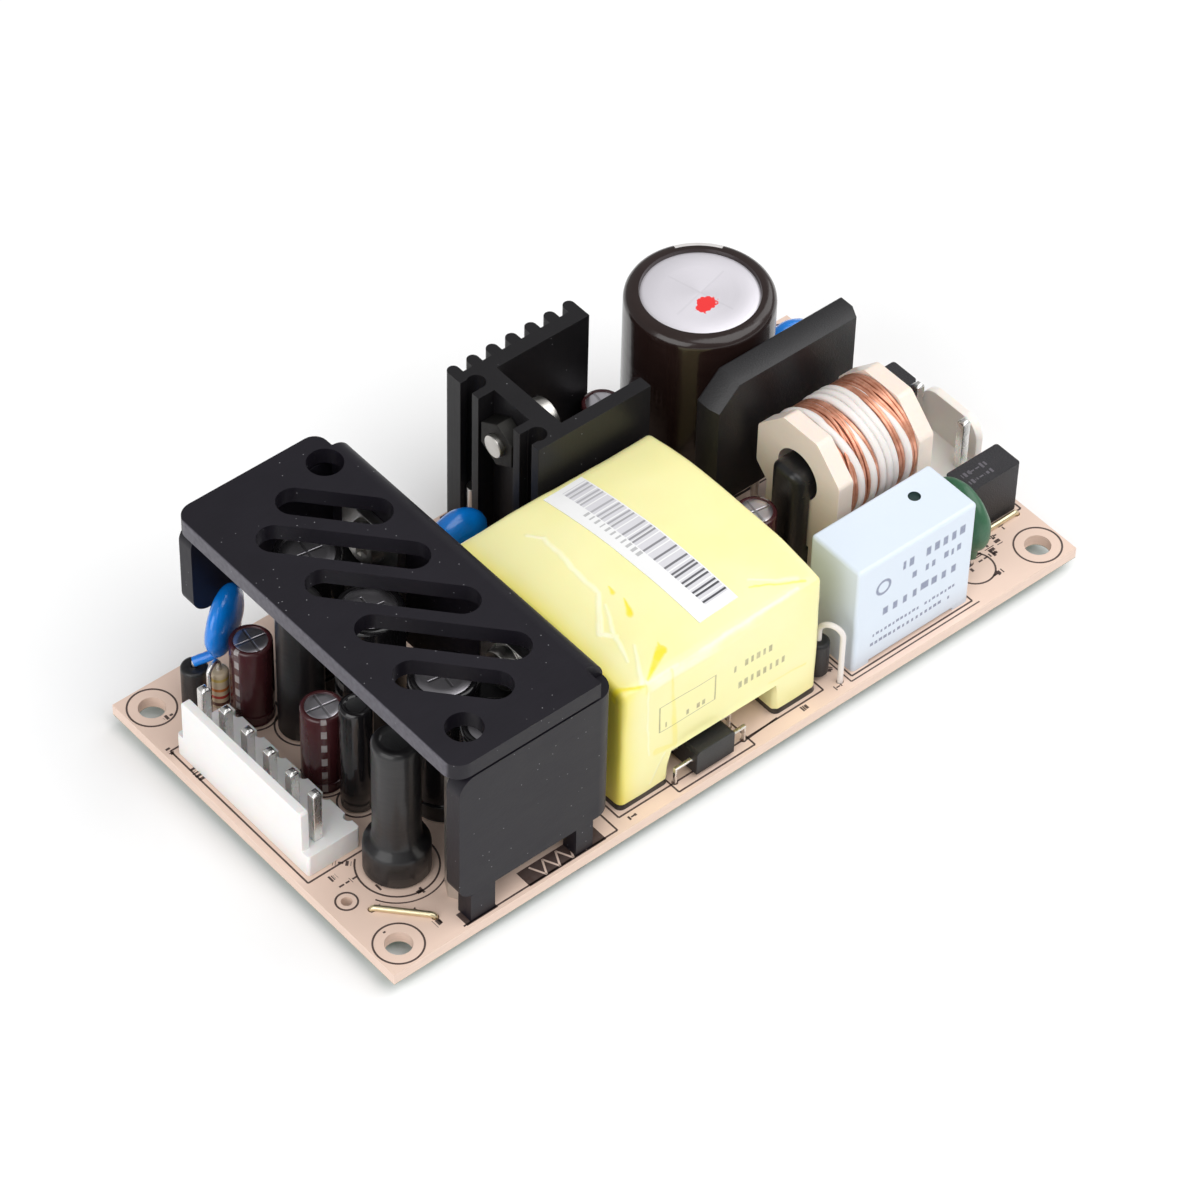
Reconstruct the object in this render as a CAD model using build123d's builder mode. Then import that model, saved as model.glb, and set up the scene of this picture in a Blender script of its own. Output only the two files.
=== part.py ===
"""Open frame power supply: a bare circuit board with its parts. The origin lies midway between the four
corner holes on the board's underside, with +X to the mains end, +Y to the back edge and +Z up."""
import os

from build123d import *

os.makedirs("parts", exist_ok=True)

# Driving dimensions in millimetres

# Board, leads and solder
board_thickness = 1.6
edge_margin = 0.6
corner_hole_diameter = 3.2
corner_hole_inset = 3.175
trimmer_hole_diameter = 1.3
trimmer_hole_inset = 2.5
trimmer_hole_front = 11.4
lead_clearance = 0.1
tail_length = 1.6
solder_height = 1.1
solder_spread = 0.4
solder_tip = 0.1
fit_clearance = 0.05

# Folded output heatsink, one black sheet over the low voltage end
sheet = 2.2
cover_front_bay = 7.3
cover_height = 26.0
cover_bend_radius = 2.5
cover_corner_radius = 2.2
cover_wall_gap = 0.35
cover_relief = 2.7
cover_wing_lift = 11.0
cover_wall_setback = 0.6
cover_foot_height = 4.3
cover_foot_1_start = 2.2
cover_foot_1_width = 3.4
cover_foot_2_width = 2.4
cover_foot_2_end = 3.1
cover_foot_3_end = 4.5
tongue_side = 1.4
slot_width = 4.2
slot_long = 19.4
slot_short = 13.2
slot_row = 8.66
slot_end_row = 5.54
slot_end_shift = 3.1
slot_angle = -48.5
cover_hole_diameter = 4.3
cover_hole_side = 4.78
cover_hole_end = 4.35

# Friction lock headers
pin_pitch = 3.96
pin_side = 1.14
pin_height = 10.6
header_depth = 7.2
header_base_height = 3.2
header_wall_height = 9.2
header_wall_thickness = 1.1
header_pin_setback = 2.6
header_corner_radius = 0.4
header_notch_radius = 0.6
pin_point = 0.25
output_ways = 6
output_header_inset = 1.4
rod_to_header = 0.7
header_to_cover_end = 9.24
header_to_cover = 0.35
inlet_ways = 3
inlet_margin = 1.0
inlet_wall_corner = 2.6

# Transformer, a taped block on two long legs
cover_to_transformer = 2.3
transformer_length = 29.4
transformer_depth = 30.0
transformer_height = 18.5
transformer_front = 2.4
transformer_leg_1 = 7.35
transformer_leg_2 = 6.5
transformer_leg_height = 5.1
transformer_edge_radius = 0.8
transformer_pin_count = 5
transformer_pin_pitch = 5.0
transformer_pin_radius = 0.35
label_margin = 2.2
label_width = 5.8
label_thickness = 0.1
label_turn = 2.3
label_shift = 1.4
label_back_shift = 1.1

# Extruded heatsink behind the transformer
transformer_to_heatsink = 1.0
heatsink_height = 24.0
heatsink_start = 13.8
heatsink_plate = 1.8
heatsink_plate_length = 16.5
heatsink_side_gap = 0.75
heatsink_comb = 1.9
heatsink_comb_length = 18.6
heatsink_web = 2.5
heatsink_web_start = 2.3
fin_count = 7
fin_depth = 1.6
fin_width = 1.5
channel_diameter = 2.3
channel_rib = 1.15
channel_inset = 0.35
channel_wall = 0.8
channel_mouth = 0.8
channel_shift = 0.75

# Three-lead power packages
package_width = 10.0
package_height = 15.6
package_tab = 1.3
package_over_body = 1.0
package_thickness = 4.5
package_lead_pitch = 2.54
package_lead_width = 0.8
package_lead_thickness = 0.5
package_lead_offset = 2.4
package_lead_root = 1.0
package_draft = 4.0
package_hole_margin = 0.05
package_hole_diameter = 3.6
package_headroom = 3.2
transistor_drop = 2.2
rectifier_row_1 = 14.1
rectifier_row_2 = 10.5

# Screws, nut and pillar
screw_diameter = 2.9
screw_head_diameter = 5.5
screw_head_height = 1.6
head_taper = 10.0
recess_reach = 0.55
recess_width = 0.14
recess_depth = 0.5
nut_across = 5.5
nut_height = 2.2
pillar_across = 4.0
pillar_screw_diameter = 2.2
pillar_screw_head = 4.0
pillar_headroom = 4.8
channel_screw_length = 9.0
screw_over_nut = 0.6

# Boxed capacitor at the front of the mains end
transformer_to_box = 4.8
box_length = 18.0
box_depth = 8.2
box_height = 16.0
box_front = 1.8
box_edge_radius = 0.5
box_foot_height = 0.5
box_foot_width = 2.5
box_lead_pitch = 15.0
box_gate_diameter = 1.5
box_gate_along = 0.73
box_gate_across = 0.65
box_gate_sink = 0.3
box_lead_radius = 0.4

# Common mode choke
transformer_to_choke = 8.6
box_to_choke = 2.2
choke_axis_height = 14.6
choke_flange_diameter = 13.8
choke_flange_thickness = 2.2
choke_turns = 3.5
choke_wire = 1.0
choke_sleeve = 1.15
choke_core_width = 5.0
choke_core_leg = 4.2
choke_yoke = 2.3
choke_core_lift = 0.5
choke_core_radius = 0.9
choke_core_edge = 0.35
choke_core_crown = 1.6
choke_tube_wall = 0.8
choke_inner_layers = 1.4
choke_foot_width = 10.0
choke_corner_radius = 0.9
choke_pin_spread = 7.6
choke_pin_radius = 0.35
choke_wire_bedding = 0.45

# Bridge rectifier and bulk capacitor
choke_to_bridge = 1.5
bridge_length = 21.8
bridge_thickness = 3.4
bridge_height = 18.8
bridge_lift = 5.2
bridge_start = 5.7
bridge_chamfer = 3.2
bridge_edge = 0.3
bridge_bevel = 1.3
bridge_bevel_depth = 0.5
bridge_lead_count = 4
bridge_lead_pitch = 5.08
bridge_lead_radius = 0.5
bridge_to_bulk = 0.8
bulk_diameter = 17.8
bulk_height = 25.5
bulk_start = 5.6
bulk_lead_pitch = 7.5
bulk_lead_radius = 0.4

# Fuses and thermistor at the mains end
fuse_length = 8.2
fuse_depth = 4.1
fuse_height = 7.6
fuse_lead_pitch = 5.08
fuse_corner_radius = 0.4
fuse_front = 9.2
fuse_to_header = 1.1
header_to_fuse = 0.7
choke_to_fuse = 1.375
thermistor_diameter = 9.8
thermistor_thickness = 3.2
thermistor_front = 3.6
thermistor_lift = 1.2
box_to_thermistor = 2.7

# Shares of a can's diameter and height, and of a sleeved rod's and a disc's own sizes
groove_level = 0.14
groove_radius = 0.035
can_rim = 0.07
can_disc = 0.39
can_disc_sink = 0.02
rod_rim = 0.12
rod_shoulder = 0.35
disc_rim = 0.4
disc_lead_reach = 0.3
axial_rim = 0.18

# Small parts
small_lead_radius = 0.3
disc_diameter = 8.8
disc_thickness = 3.6
disc_lift = 3.0
disc_lead_radius = 0.3
disc_lead_pitch = 5.0
disc_to_heatsink = 1.4
disc_to_bulk = 1.0
raised_disc_lift = 7.4
raised_disc_thickness = 2.6
raised_disc_turn = 30.0
raised_disc_shift = 3.8
raised_disc_step = 0.9
raised_root = 0.38
raised_root_side = 1.6
bead_diameter = 3.2
bead_height = 6.2
bead_rim = 0.4
axial_diameter = 2.3
axial_length = 5.6
axial_lift = 0.8
axial_wire_radius = 0.3
axial_to_header = 0.6
axial_behind_header = 2.35
axial_reach = 1.9
axial_side = 0.7
axial_loop_height = 8.2
bead_shift = 1.7
bead_step = 2.3
diode_diameter = 2.7
diode_length = 5.2
diode_loop_height = 8.6
diode_wire_radius = 0.35
diode_lift = 0.5
diode_gap = 0.2
diode_setback = 1.9
diode_side = 1.3
diode_reach = 2.6
opto_length = 5.6
opto_depth = 4.6
opto_height = 3.5
opto_lift = 0.5
opto_row_spacing = 10.16
opto_lead_pitch = 2.54
opto_lead_width = 0.5
opto_lead_thickness = 0.3
opto_front = 0.9
opto_chamfer = 0.35
small_can = 5.0
small_can_height = 12.0
small_can_pitch = 2.0
supply_can_gap = 0.9
supply_can_shift = 0.5
output_can = 8.0
output_can_headroom = 3.8
output_can_pitch = 3.5
can_to_end_wall = 0.7
first_can_gap = 1.0
middle_can_gap = 4.9
last_can_gap = 3.0
can_to_wing = 3.1
can_to_rectifier = 0.55
header_to_can = 0.55
filter_can_row_1 = 23.2
filter_can_row_2 = 10.4
slim_choke_diameter = 4.0
slim_choke_height = 16.0
slim_choke_row = 5.3
slim_choke_shift = 0.8
slim_choke_pitch = 2.0
tall_choke_diameter = 5.6
tall_choke_pitch = 2.5
tall_choke_gap = 1.0
rod_headroom = 3.3
rod_choke_diameter = 5.6
rod_choke_pitch = 4.0
rod_choke_base = 7.8
rod_choke_base_height = 5.0
rod_choke_start = 10.1
rod_from_pillar = 7.15
link_radius = 0.35
link_bend = 0.45
link_start = 3.9
link_front = 8.8
link_length = 7.0
link_turn = -48.0
link_setback = 0.6
controller_length = 4.9
controller_width = 3.9
controller_height = 1.4
controller_shift = 3.0
controller_chamfer = 0.3
controller_rows = 4
controller_pitch = 1.27
controller_lead_reach = 1.02
controller_lead_width = 0.42
controller_lead_thickness = 0.3
chip_length = 2.0
chip_width = 1.25
chip_height = 0.5
chip_count = 6
chip_pitch = 2.6
chip_shift = 5.0
chip_side = 1.6

# Places along the board, measured from the output end
header_end = output_header_inset + header_depth
cover_start = header_end + header_to_cover
cover_depth = cover_front_bay + output_can + can_to_rectifier + package_thickness + sheet
cover_end = cover_start + cover_depth
transformer_start = cover_end + cover_to_transformer
transformer_end = transformer_start + transformer_length
box_start = transformer_end + transformer_to_box
choke_start = transformer_end + transformer_to_choke
winding_pitch = choke_wire + choke_sleeve + 2 * fit_clearance
choke_winding_length = (choke_turns + 1) * winding_pitch
bobbin_length = choke_winding_length + 2 * choke_flange_thickness
choke_end = choke_start + 2 * (choke_yoke + fit_clearance) + bobbin_length
bridge_x_start = transformer_end + bridge_start
bulk_x_middle = transformer_end + bulk_start + bulk_diameter / 2
bobbin_end = choke_start + choke_yoke + fit_clearance + bobbin_length
thermistor_start = max(box_start + box_length + box_to_thermistor, bobbin_end + fit_clearance)
thermistor_end = thermistor_start + thermistor_thickness
fuse_start = max(choke_end + choke_to_fuse, thermistor_end + fit_clearance)
board_length = fuse_start + fuse_length + inlet_margin

# Places across the board, measured from the front edge
rod_choke_front = edge_margin + cover_hole_end + rod_from_pillar
output_header_front = rod_choke_front + rod_choke_base / 2 + rod_to_header
cans_length = 4 * output_can + first_can_gap + middle_can_gap + last_can_gap
cover_length = max(2 * sheet + can_to_end_wall + cans_length + can_to_wing,
                   output_header_front + output_ways * pin_pitch + header_to_cover_end - edge_margin)
cover_back_edge = edge_margin + cover_length
channel_reach = channel_inset + channel_diameter / 2 + channel_rib
heatsink_gap = max(package_width + 2 * heatsink_side_gap, nut_across + 2 * (channel_reach + fit_clearance))
heatsink_front = transformer_front + transformer_depth + transformer_to_heatsink
comb_front = heatsink_front + heatsink_plate + heatsink_gap
comb_back = comb_front + heatsink_comb
choke_middle = box_front + box_depth + box_to_choke + choke_flange_diameter / 2
bridge_front = choke_middle + choke_flange_diameter / 2 + choke_to_bridge
bulk_middle = bridge_front + bridge_thickness + bridge_to_bulk + bulk_diameter / 2
board_width = max(cover_back_edge, comb_back + fin_depth, bulk_middle + bulk_diameter / 2) + edge_margin

# Heights under the folded heatsink and on the extruded one
cover_room = cover_height - sheet
output_can_height = cover_room - output_can_headroom
rod_height = cover_room - rod_headroom
pillar_height = cover_room - pillar_headroom
package_hole_drop = screw_head_diameter / 2 + package_hole_margin
package_body = package_height - 2 * package_hole_drop - package_over_body
rectifier_lift = cover_room - package_headroom - package_height
transistor_lift = heatsink_height - transistor_drop - package_height

top = board_thickness
half_length = board_length / 2
half_width = board_width / 2
leads = []


def at(along, across):
    """The X and Y of a place measured along and across the board from its front output corner."""
    return along - half_length, across - half_width


def keep(piece, name):
    """Label a finished piece and write it to its file."""
    piece.part.label = name
    export_step(piece.part, f"parts/{name}.step")


def block(x, y, z, length, depth, height):
    """Add a box to the open part by its lowest corner and its three sizes."""
    with Locations((x, y, z)):
        Box(length, depth, height, align=(Align.MIN, Align.MIN, Align.MIN))


def round_lead(x, y, upper, radius):
    """Add a round lead from its clipped tail up to a height, and note where it crosses the board."""
    with Locations((x, y, -tail_length)):
        Cylinder(radius, upper + tail_length, align=(Align.CENTER, Align.CENTER, Align.MIN))
    leads.append((x, y, 2 * radius, 0))


def flat_lead(x, y, upper, width, depth):
    """Add a rectangular lead the same way, its width along X and its depth along Y."""
    block(x - width / 2, y - depth / 2, -tail_length, width, depth, upper + tail_length)
    leads.append((x, y, width, depth))


def can(name, x, y, diameter, height, pitch, turned, lead):
    """An electrolytic capacitor: rounded rim, sunk top disc, rolled groove and two leads."""
    with BuildPart() as piece:
        with BuildSketch(Plane.XZ):
            with Locations((0, top)):
                Rectangle(diameter / 2, height, align=(Align.MIN, Align.MIN))
            with Locations((diameter / 2, top + groove_level * height)):
                Circle(groove_radius * diameter, mode=Mode.SUBTRACT)
        revolve(axis=Axis.Z)
        fillet(piece.edges().group_by(Axis.Z)[-1], can_rim * diameter)
        with BuildSketch(Plane.XY.offset(top + height)):
            Circle(can_disc * diameter)
        extrude(amount=-can_disc_sink * diameter, mode=Mode.SUBTRACT)
    shifted = Pos(x, y, 0) * piece.part
    with BuildPart() as placed:
        add(shifted)
        spread = Vector(pitch / 2, 0, 0).rotate(Axis.Z, turned)
        for side in (-1, 1):
            round_lead(x + side * spread.X, y + side * spread.Y, top, lead)
    keep(placed, name)


def sleeved_rod(name, x, y, diameter, height, pitch, base=0.0, base_height=0.0):
    """A rod choke in shrunk sleeve, with a wider ferrite base where it has one."""
    with BuildPart() as piece:
        with Locations((x, y, top)):
            Cylinder(diameter / 2, height, align=(Align.CENTER, Align.CENTER, Align.MIN))
        fillet(piece.edges().group_by(Axis.Z)[-1], rod_rim * diameter)
        if base:
            with Locations((x, y, top)):
                Cylinder(base / 2, base_height, align=(Align.CENTER, Align.CENTER, Align.MIN))
            rim = piece.edges().filter_by(GeomType.CIRCLE).filter_by_position(
                Axis.Z, top + base_height, top + base_height)
            chamfer(rim.sort_by(SortBy.RADIUS)[-1], (base - diameter) * rod_shoulder)
        for side in (-1, 1):
            round_lead(x, y + side * pitch / 2, top, small_lead_radius)
    keep(piece, name)


def disc(name, x, y, diameter, thickness, lift, turned):
    """A dipped disc on two leads, its faces turned by an angle from facing along Y."""
    middle = top + lift + diameter / 2
    across = Vector(1, 0, 0).rotate(Axis.Z, turned)
    facing = Vector(0, 1, 0).rotate(Axis.Z, turned)
    with BuildPart() as piece:
        with BuildSketch(Plane((x, y, middle), x_dir=across, z_dir=facing)):
            Circle(diameter / 2)
        extrude(amount=thickness / 2, both=True)
        fillet(piece.edges().filter_by(GeomType.CIRCLE), disc_rim * thickness)
        for side in (-1, 1):
            step = across * (side * disc_lead_pitch / 2)
            round_lead(x + step.X, y + step.Y, middle - disc_lead_reach * diameter, disc_lead_radius)
    keep(piece, name)


def package(name, seat):
    """A power package on the plane of its tab's back, with the plane's X across it, its Y up from the
    foot of its body, and its normal away from the sink."""
    with BuildPart() as piece:
        with BuildSketch(seat):
            Rectangle(package_width, package_height, align=(Align.CENTER, Align.MIN))
            with Locations((0, package_height - package_hole_drop)):
                Circle(package_hole_diameter / 2, mode=Mode.SUBTRACT)
        extrude(amount=package_tab)
        with BuildSketch(seat.offset(package_tab)):
            Rectangle(package_width, package_body, align=(Align.CENTER, Align.MIN))
        extrude(amount=package_thickness - package_tab, taper=package_draft)
        with BuildSketch(seat.offset(package_lead_offset - package_lead_thickness / 2)):
            with Locations(*[(step * package_lead_pitch, package_lead_root) for step in (-1, 0, 1)]):
                Rectangle(package_lead_width, seat.origin.Z + tail_length + 2 * package_lead_root,
                          align=(Align.CENTER, Align.MAX))
        extrude(amount=package_lead_thickness)
        split(bisect_by=Plane.XY.offset(-tail_length), keep=Keep.TOP)
    sideways = abs(seat.x_dir.X) < 0.5
    section = (package_lead_thickness, package_lead_width) if sideways else (
        package_lead_width, package_lead_thickness)
    for step in (-1, 0, 1):
        foot = seat.from_local_coords(Vector(step * package_lead_pitch, 0, package_lead_offset))
        leads.append((foot.X, foot.Y, *section))
    keep(piece, name)


def pan_screws(name, shank, head, length, seats):
    """Pan head screws, each on the plane under its head, with the normal out of the head."""
    with BuildPart() as piece:
        for seat in seats:
            with BuildSketch(seat):
                Circle(head / 2)
            extrude(amount=screw_head_height, taper=head_taper)
            with BuildSketch(seat):
                Circle(shank / 2)
            extrude(amount=-length)
            with BuildSketch(seat.offset(screw_head_height)):
                Rectangle(recess_reach * head, recess_width * head)
                Rectangle(recess_width * head, recess_reach * head)
            extrude(amount=-recess_depth * screw_head_height, mode=Mode.SUBTRACT)
    keep(piece, name)


def header(name, pin_name, x, y, ways, filled, outward, wall_corner):
    """A friction lock header along Y with its pins. Its wall is on the side named by outward, -1 or 1."""
    length = ways * pin_pitch
    middle = x + header_depth / 2
    wall_middle = middle + outward * (header_depth - header_wall_thickness) / 2
    pin_x = middle + outward * (header_depth / 2 - header_pin_setback)
    rows = [y + (way + 0.5) * pin_pitch for way in range(ways)]
    filled_rows = [rows[way] for way in filled]
    with BuildPart() as piece:
        block(x, y, top, header_depth, length, header_base_height)
        with BuildSketch(Plane((wall_middle, y + length / 2, top), x_dir=(0, 1, 0), z_dir=(1, 0, 0))) as wall:
            Rectangle(length - 2 * pin_side, header_wall_height, align=(Align.CENTER, Align.MIN))
            fillet(wall.vertices().group_by(Axis.Z)[-1], wall_corner)
        extrude(amount=header_wall_thickness / 2, both=True)
        fillet(piece.edges().filter_by(Axis.Z).filter_by_position(
            Axis.Z, top + header_base_height / 2, top + header_base_height / 2), header_corner_radius)
        with Locations(*[(middle - outward * header_depth / 2, row, top) for row in rows]):
            Cylinder(header_notch_radius, header_base_height, mode=Mode.SUBTRACT,
                     align=(Align.CENTER, Align.CENTER, Align.MIN))
        with Locations(*[(pin_x, row, top) for row in filled_rows]):
            Box(pin_side, pin_side, header_base_height, mode=Mode.SUBTRACT,
                align=(Align.CENTER, Align.CENTER, Align.MIN))
    keep(piece, name)
    for number, row in enumerate(filled_rows, start=1):
        with BuildPart() as pin:
            flat_lead(pin_x, row, top + pin_height, pin_side, pin_side)
            chamfer(pin.faces().sort_by(Axis.Z)[-1].edges(), pin_point * pin_side)
        keep(pin, f"{pin_name}_{number}")


# Output header
header_x, header_y = at(output_header_inset, output_header_front)
header("output_header", "output_pin", header_x, header_y, output_ways, range(output_ways), -1,
       header_corner_radius)

# Folded output heatsink
cover_x, cover_y = at(cover_start, edge_margin)
cover_back = cover_x + cover_depth
cover_inner = cover_back - sheet
cover_y_end = cover_y + cover_length
cover_mid_x = cover_x + cover_depth / 2
cover_mid_y = cover_y + cover_length / 2
cover_top = top + cover_height
plate_under = cover_top - sheet
wall_top = plate_under - cover_wall_gap
wall_foot = top + cover_foot_height
wall_start = cover_x + cover_wall_setback
rectifier_screw_z = top + rectifier_lift + package_height - package_hole_drop
rectifier_rows = (cover_y + rectifier_row_1, cover_y_end - rectifier_row_2)
with BuildPart() as output_heatsink:
    # End wall, back wall and wing, folded round the two back corners
    with BuildSketch(Plane.XY.offset(wall_foot)) as walls:
        with Locations((wall_start, cover_y)):
            Rectangle(cover_back - wall_start, cover_length, align=(Align.MIN, Align.MIN))
        fillet(walls.vertices().group_by(Axis.X)[-1], cover_bend_radius)
        with Locations((wall_start, cover_y + sheet)):
            Rectangle(cover_inner - wall_start, cover_length - 2 * sheet, align=(Align.MIN, Align.MIN),
                      mode=Mode.SUBTRACT)
    extrude(amount=wall_top - wall_foot)
    with Locations((wall_start, cover_y_end, wall_foot)):
        Box(cover_inner - wall_start, sheet, cover_wing_lift - cover_foot_height, mode=Mode.SUBTRACT,
            align=(Align.MIN, Align.MAX, Align.MIN))
    fillet(output_heatsink.edges().filter_by(Axis.Y).group_by(Axis.X)[0], cover_corner_radius)
    # Top plate, and its bend down into the back wall between the two corner reliefs
    with BuildSketch(Plane.XY.offset(cover_top)) as plate:
        with Locations((cover_x, cover_y)):
            Rectangle(cover_depth - cover_bend_radius, cover_length, align=(Align.MIN, Align.MIN))
        fillet(plate.vertices().group_by(Axis.X)[0], cover_corner_radius)
    extrude(amount=-sheet)
    with BuildSketch(Plane.XZ.offset(-(cover_y + cover_relief))) as bend:
        with Locations((cover_back, wall_top)):
            Rectangle(cover_bend_radius, cover_top - wall_top, align=(Align.MAX, Align.MIN))
        fillet(bend.vertices().group_by(Axis.Y)[-1].sort_by(Axis.X)[-1], cover_bend_radius)
        with Locations((cover_inner, wall_top)):
            Rectangle(cover_bend_radius, plate_under - wall_top, align=(Align.MAX, Align.MIN),
                      mode=Mode.SUBTRACT)
    extrude(amount=-(cover_length - 2 * cover_relief))
    # Slanted slots and two round holes through the plate
    with BuildSketch(Plane.XY.offset(cover_top)):
        with Locations(*[(cover_mid_x, cover_mid_y + step * slot_row) for step in (-1, 0, 1)]):
            SlotOverall(slot_long, slot_width, rotation=slot_angle)
        end_row = slot_row + slot_end_row
        with Locations(*[(cover_mid_x + side * slot_end_shift, cover_mid_y + side * end_row)
                         for side in (-1, 1)]):
            SlotOverall(slot_short, slot_width, rotation=slot_angle)
        with Locations((cover_x + cover_hole_side, cover_y + cover_hole_end),
                       (cover_back - cover_hole_side, cover_y_end - cover_hole_end)):
            Circle(cover_hole_diameter / 2)
    extrude(amount=-sheet, mode=Mode.SUBTRACT)
    # Threaded holes for the rectifiers' screws
    for row in rectifier_rows:
        with BuildSketch(Plane((cover_back, row, rectifier_screw_z), z_dir=(1, 0, 0))):
            Circle(screw_diameter / 2)
        extrude(amount=-sheet, mode=Mode.SUBTRACT)
    # Three feet, each with a tongue down through the board
    feet = (
        (cover_x + cover_foot_1_start, cover_y, cover_foot_1_width, sheet),
        (cover_back - cover_foot_2_end - cover_foot_2_width, cover_y, cover_foot_2_width, sheet),
        (cover_inner, cover_y_end - cover_foot_3_end - cover_foot_1_width, sheet, cover_foot_1_width),
    )
    for x, y, length, depth in feet:
        block(x, y, top, length, depth, cover_foot_height)
        flat_lead(x + length / 2, y + depth / 2, top, tongue_side, tongue_side)
keep(output_heatsink, "output_heatsink")

# Rectifiers on the inside of the back wall, with their screws
for number, row in enumerate(rectifier_rows, start=1):
    package(f"output_rectifier_{number}", Plane(
        (cover_inner, row, top + rectifier_lift), x_dir=(0, -1, 0), z_dir=(-1, 0, 0)))
pan_screws("rectifier_screws", screw_diameter, screw_head_diameter, package_tab + sheet, [
    Plane((cover_inner - package_tab, row, rectifier_screw_z), z_dir=(-1, 0, 0)) for row in rectifier_rows])

# Pillar and long screw under the plate's front hole
pillar_x = cover_x + cover_hole_side
pillar_y = cover_y + cover_hole_end
with BuildPart() as cover_pillar:
    with BuildSketch(Plane.XY.offset(top)):
        with Locations((pillar_x, pillar_y)):
            RegularPolygon(pillar_across / 2, 6, major_radius=False)
            Circle(pillar_screw_diameter / 2, mode=Mode.SUBTRACT)
    extrude(amount=pillar_height)
keep(cover_pillar, "cover_pillar")
pan_screws("pillar_screw", pillar_screw_diameter, pillar_screw_head, pillar_height + top,
           [Plane((pillar_x, pillar_y, top + pillar_height))])

# Capacitors and chokes of the output end
cans_x = cover_x + cover_front_bay + output_can / 2
can_row_1 = cover_y + sheet + can_to_end_wall + output_can / 2
can_row_2 = can_row_1 + output_can + first_can_gap
can_row_4 = cover_y_end - sheet - can_to_wing - output_can / 2
can_row_3 = can_row_4 - output_can - last_can_gap
for number, row in enumerate((can_row_1, can_row_2, can_row_3, can_row_4), start=1):
    can(f"output_capacitor_{number}", cans_x, row, output_can, output_can_height, output_can_pitch, 90,
        small_lead_radius)
front_can_x = header_x + header_depth + header_to_can + small_can / 2
for number, row in enumerate((filter_can_row_1, filter_can_row_2), start=1):
    can(f"filter_capacitor_{number}", front_can_x, header_y + row, small_can, small_can_height,
        small_can_pitch, 90, small_lead_radius)
sleeved_rod("slim_choke", front_can_x + slim_choke_shift, header_y + slim_choke_row, slim_choke_diameter,
            slim_choke_height, slim_choke_pitch)
tall_y = (can_row_3 + can_row_4) / 2
tall_reach = (output_can + tall_choke_diameter) / 2 + tall_choke_gap
tall_x = cans_x - (tall_reach ** 2 - (can_row_4 - tall_y) ** 2) ** 0.5
sleeved_rod("tall_choke", tall_x, tall_y, tall_choke_diameter, rod_height, tall_choke_pitch)
rod_x, rod_y = at(rod_choke_start, rod_choke_front)
sleeved_rod("rod_choke", rod_x, rod_y, rod_choke_diameter, rod_height, rod_choke_pitch, rod_choke_base,
            rod_choke_base_height)

# Blue disc at the output corner, on a bead and beside an upright resistor
header_back = header_y + output_ways * pin_pitch
resistor_x = header_x + header_depth + axial_to_header
resistor_y = header_back + axial_behind_header
bead_x = resistor_x - bead_shift
bead_y = resistor_y + bead_step
raised_x = bead_x + raised_disc_shift
raised_y = bead_y - raised_disc_step
raised_middle = top + raised_disc_lift + disc_diameter / 2
raised_across = Vector(1, 0, 0).rotate(Axis.Z, raised_disc_turn)
raised_facing = Vector(0, 1, 0).rotate(Axis.Z, raised_disc_turn)
with BuildPart() as ceramic_capacitor:
    with BuildSketch(Plane((raised_x, raised_y, raised_middle), x_dir=raised_across, z_dir=raised_facing)):
        Circle(disc_diameter / 2)
    extrude(amount=raised_disc_thickness / 2, both=True)
    fillet(ceramic_capacitor.edges().filter_by(GeomType.CIRCLE), disc_rim * raised_disc_thickness)
    root = (Vector(raised_x, raised_y, raised_middle - raised_root * disc_diameter)
            - raised_across * raised_root_side)
    with BuildLine() as bent_lead:
        Polyline((bead_x, bead_y, -tail_length), (bead_x, bead_y, top + bead_height + 2 * disc_lead_radius),
                 root)
    with BuildSketch(Plane(bent_lead.line @ 0, z_dir=(0, 0, 1))):
        Circle(disc_lead_radius)
    sweep(path=bent_lead.line, transition=Transition.ROUND)
    leads.append((bead_x, bead_y, 2 * disc_lead_radius, 0))
    straight = Vector(raised_x, raised_y, 0) + raised_across * (disc_lead_pitch / 2)
    round_lead(straight.X, straight.Y, raised_middle - disc_lead_reach * disc_diameter, disc_lead_radius)
keep(ceramic_capacitor, "ceramic_capacitor")

with BuildPart() as ferrite_bead:
    with BuildSketch(Plane.XY.offset(top)):
        with Locations((bead_x, bead_y)):
            Circle(bead_diameter / 2)
            Circle(disc_lead_radius + fit_clearance, mode=Mode.SUBTRACT)
    extrude(amount=bead_height)
    fillet(ferrite_bead.edges().filter_by(GeomType.CIRCLE).group_by(SortBy.RADIUS)[-1], bead_rim)
keep(ferrite_bead, "ferrite_bead")


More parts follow.
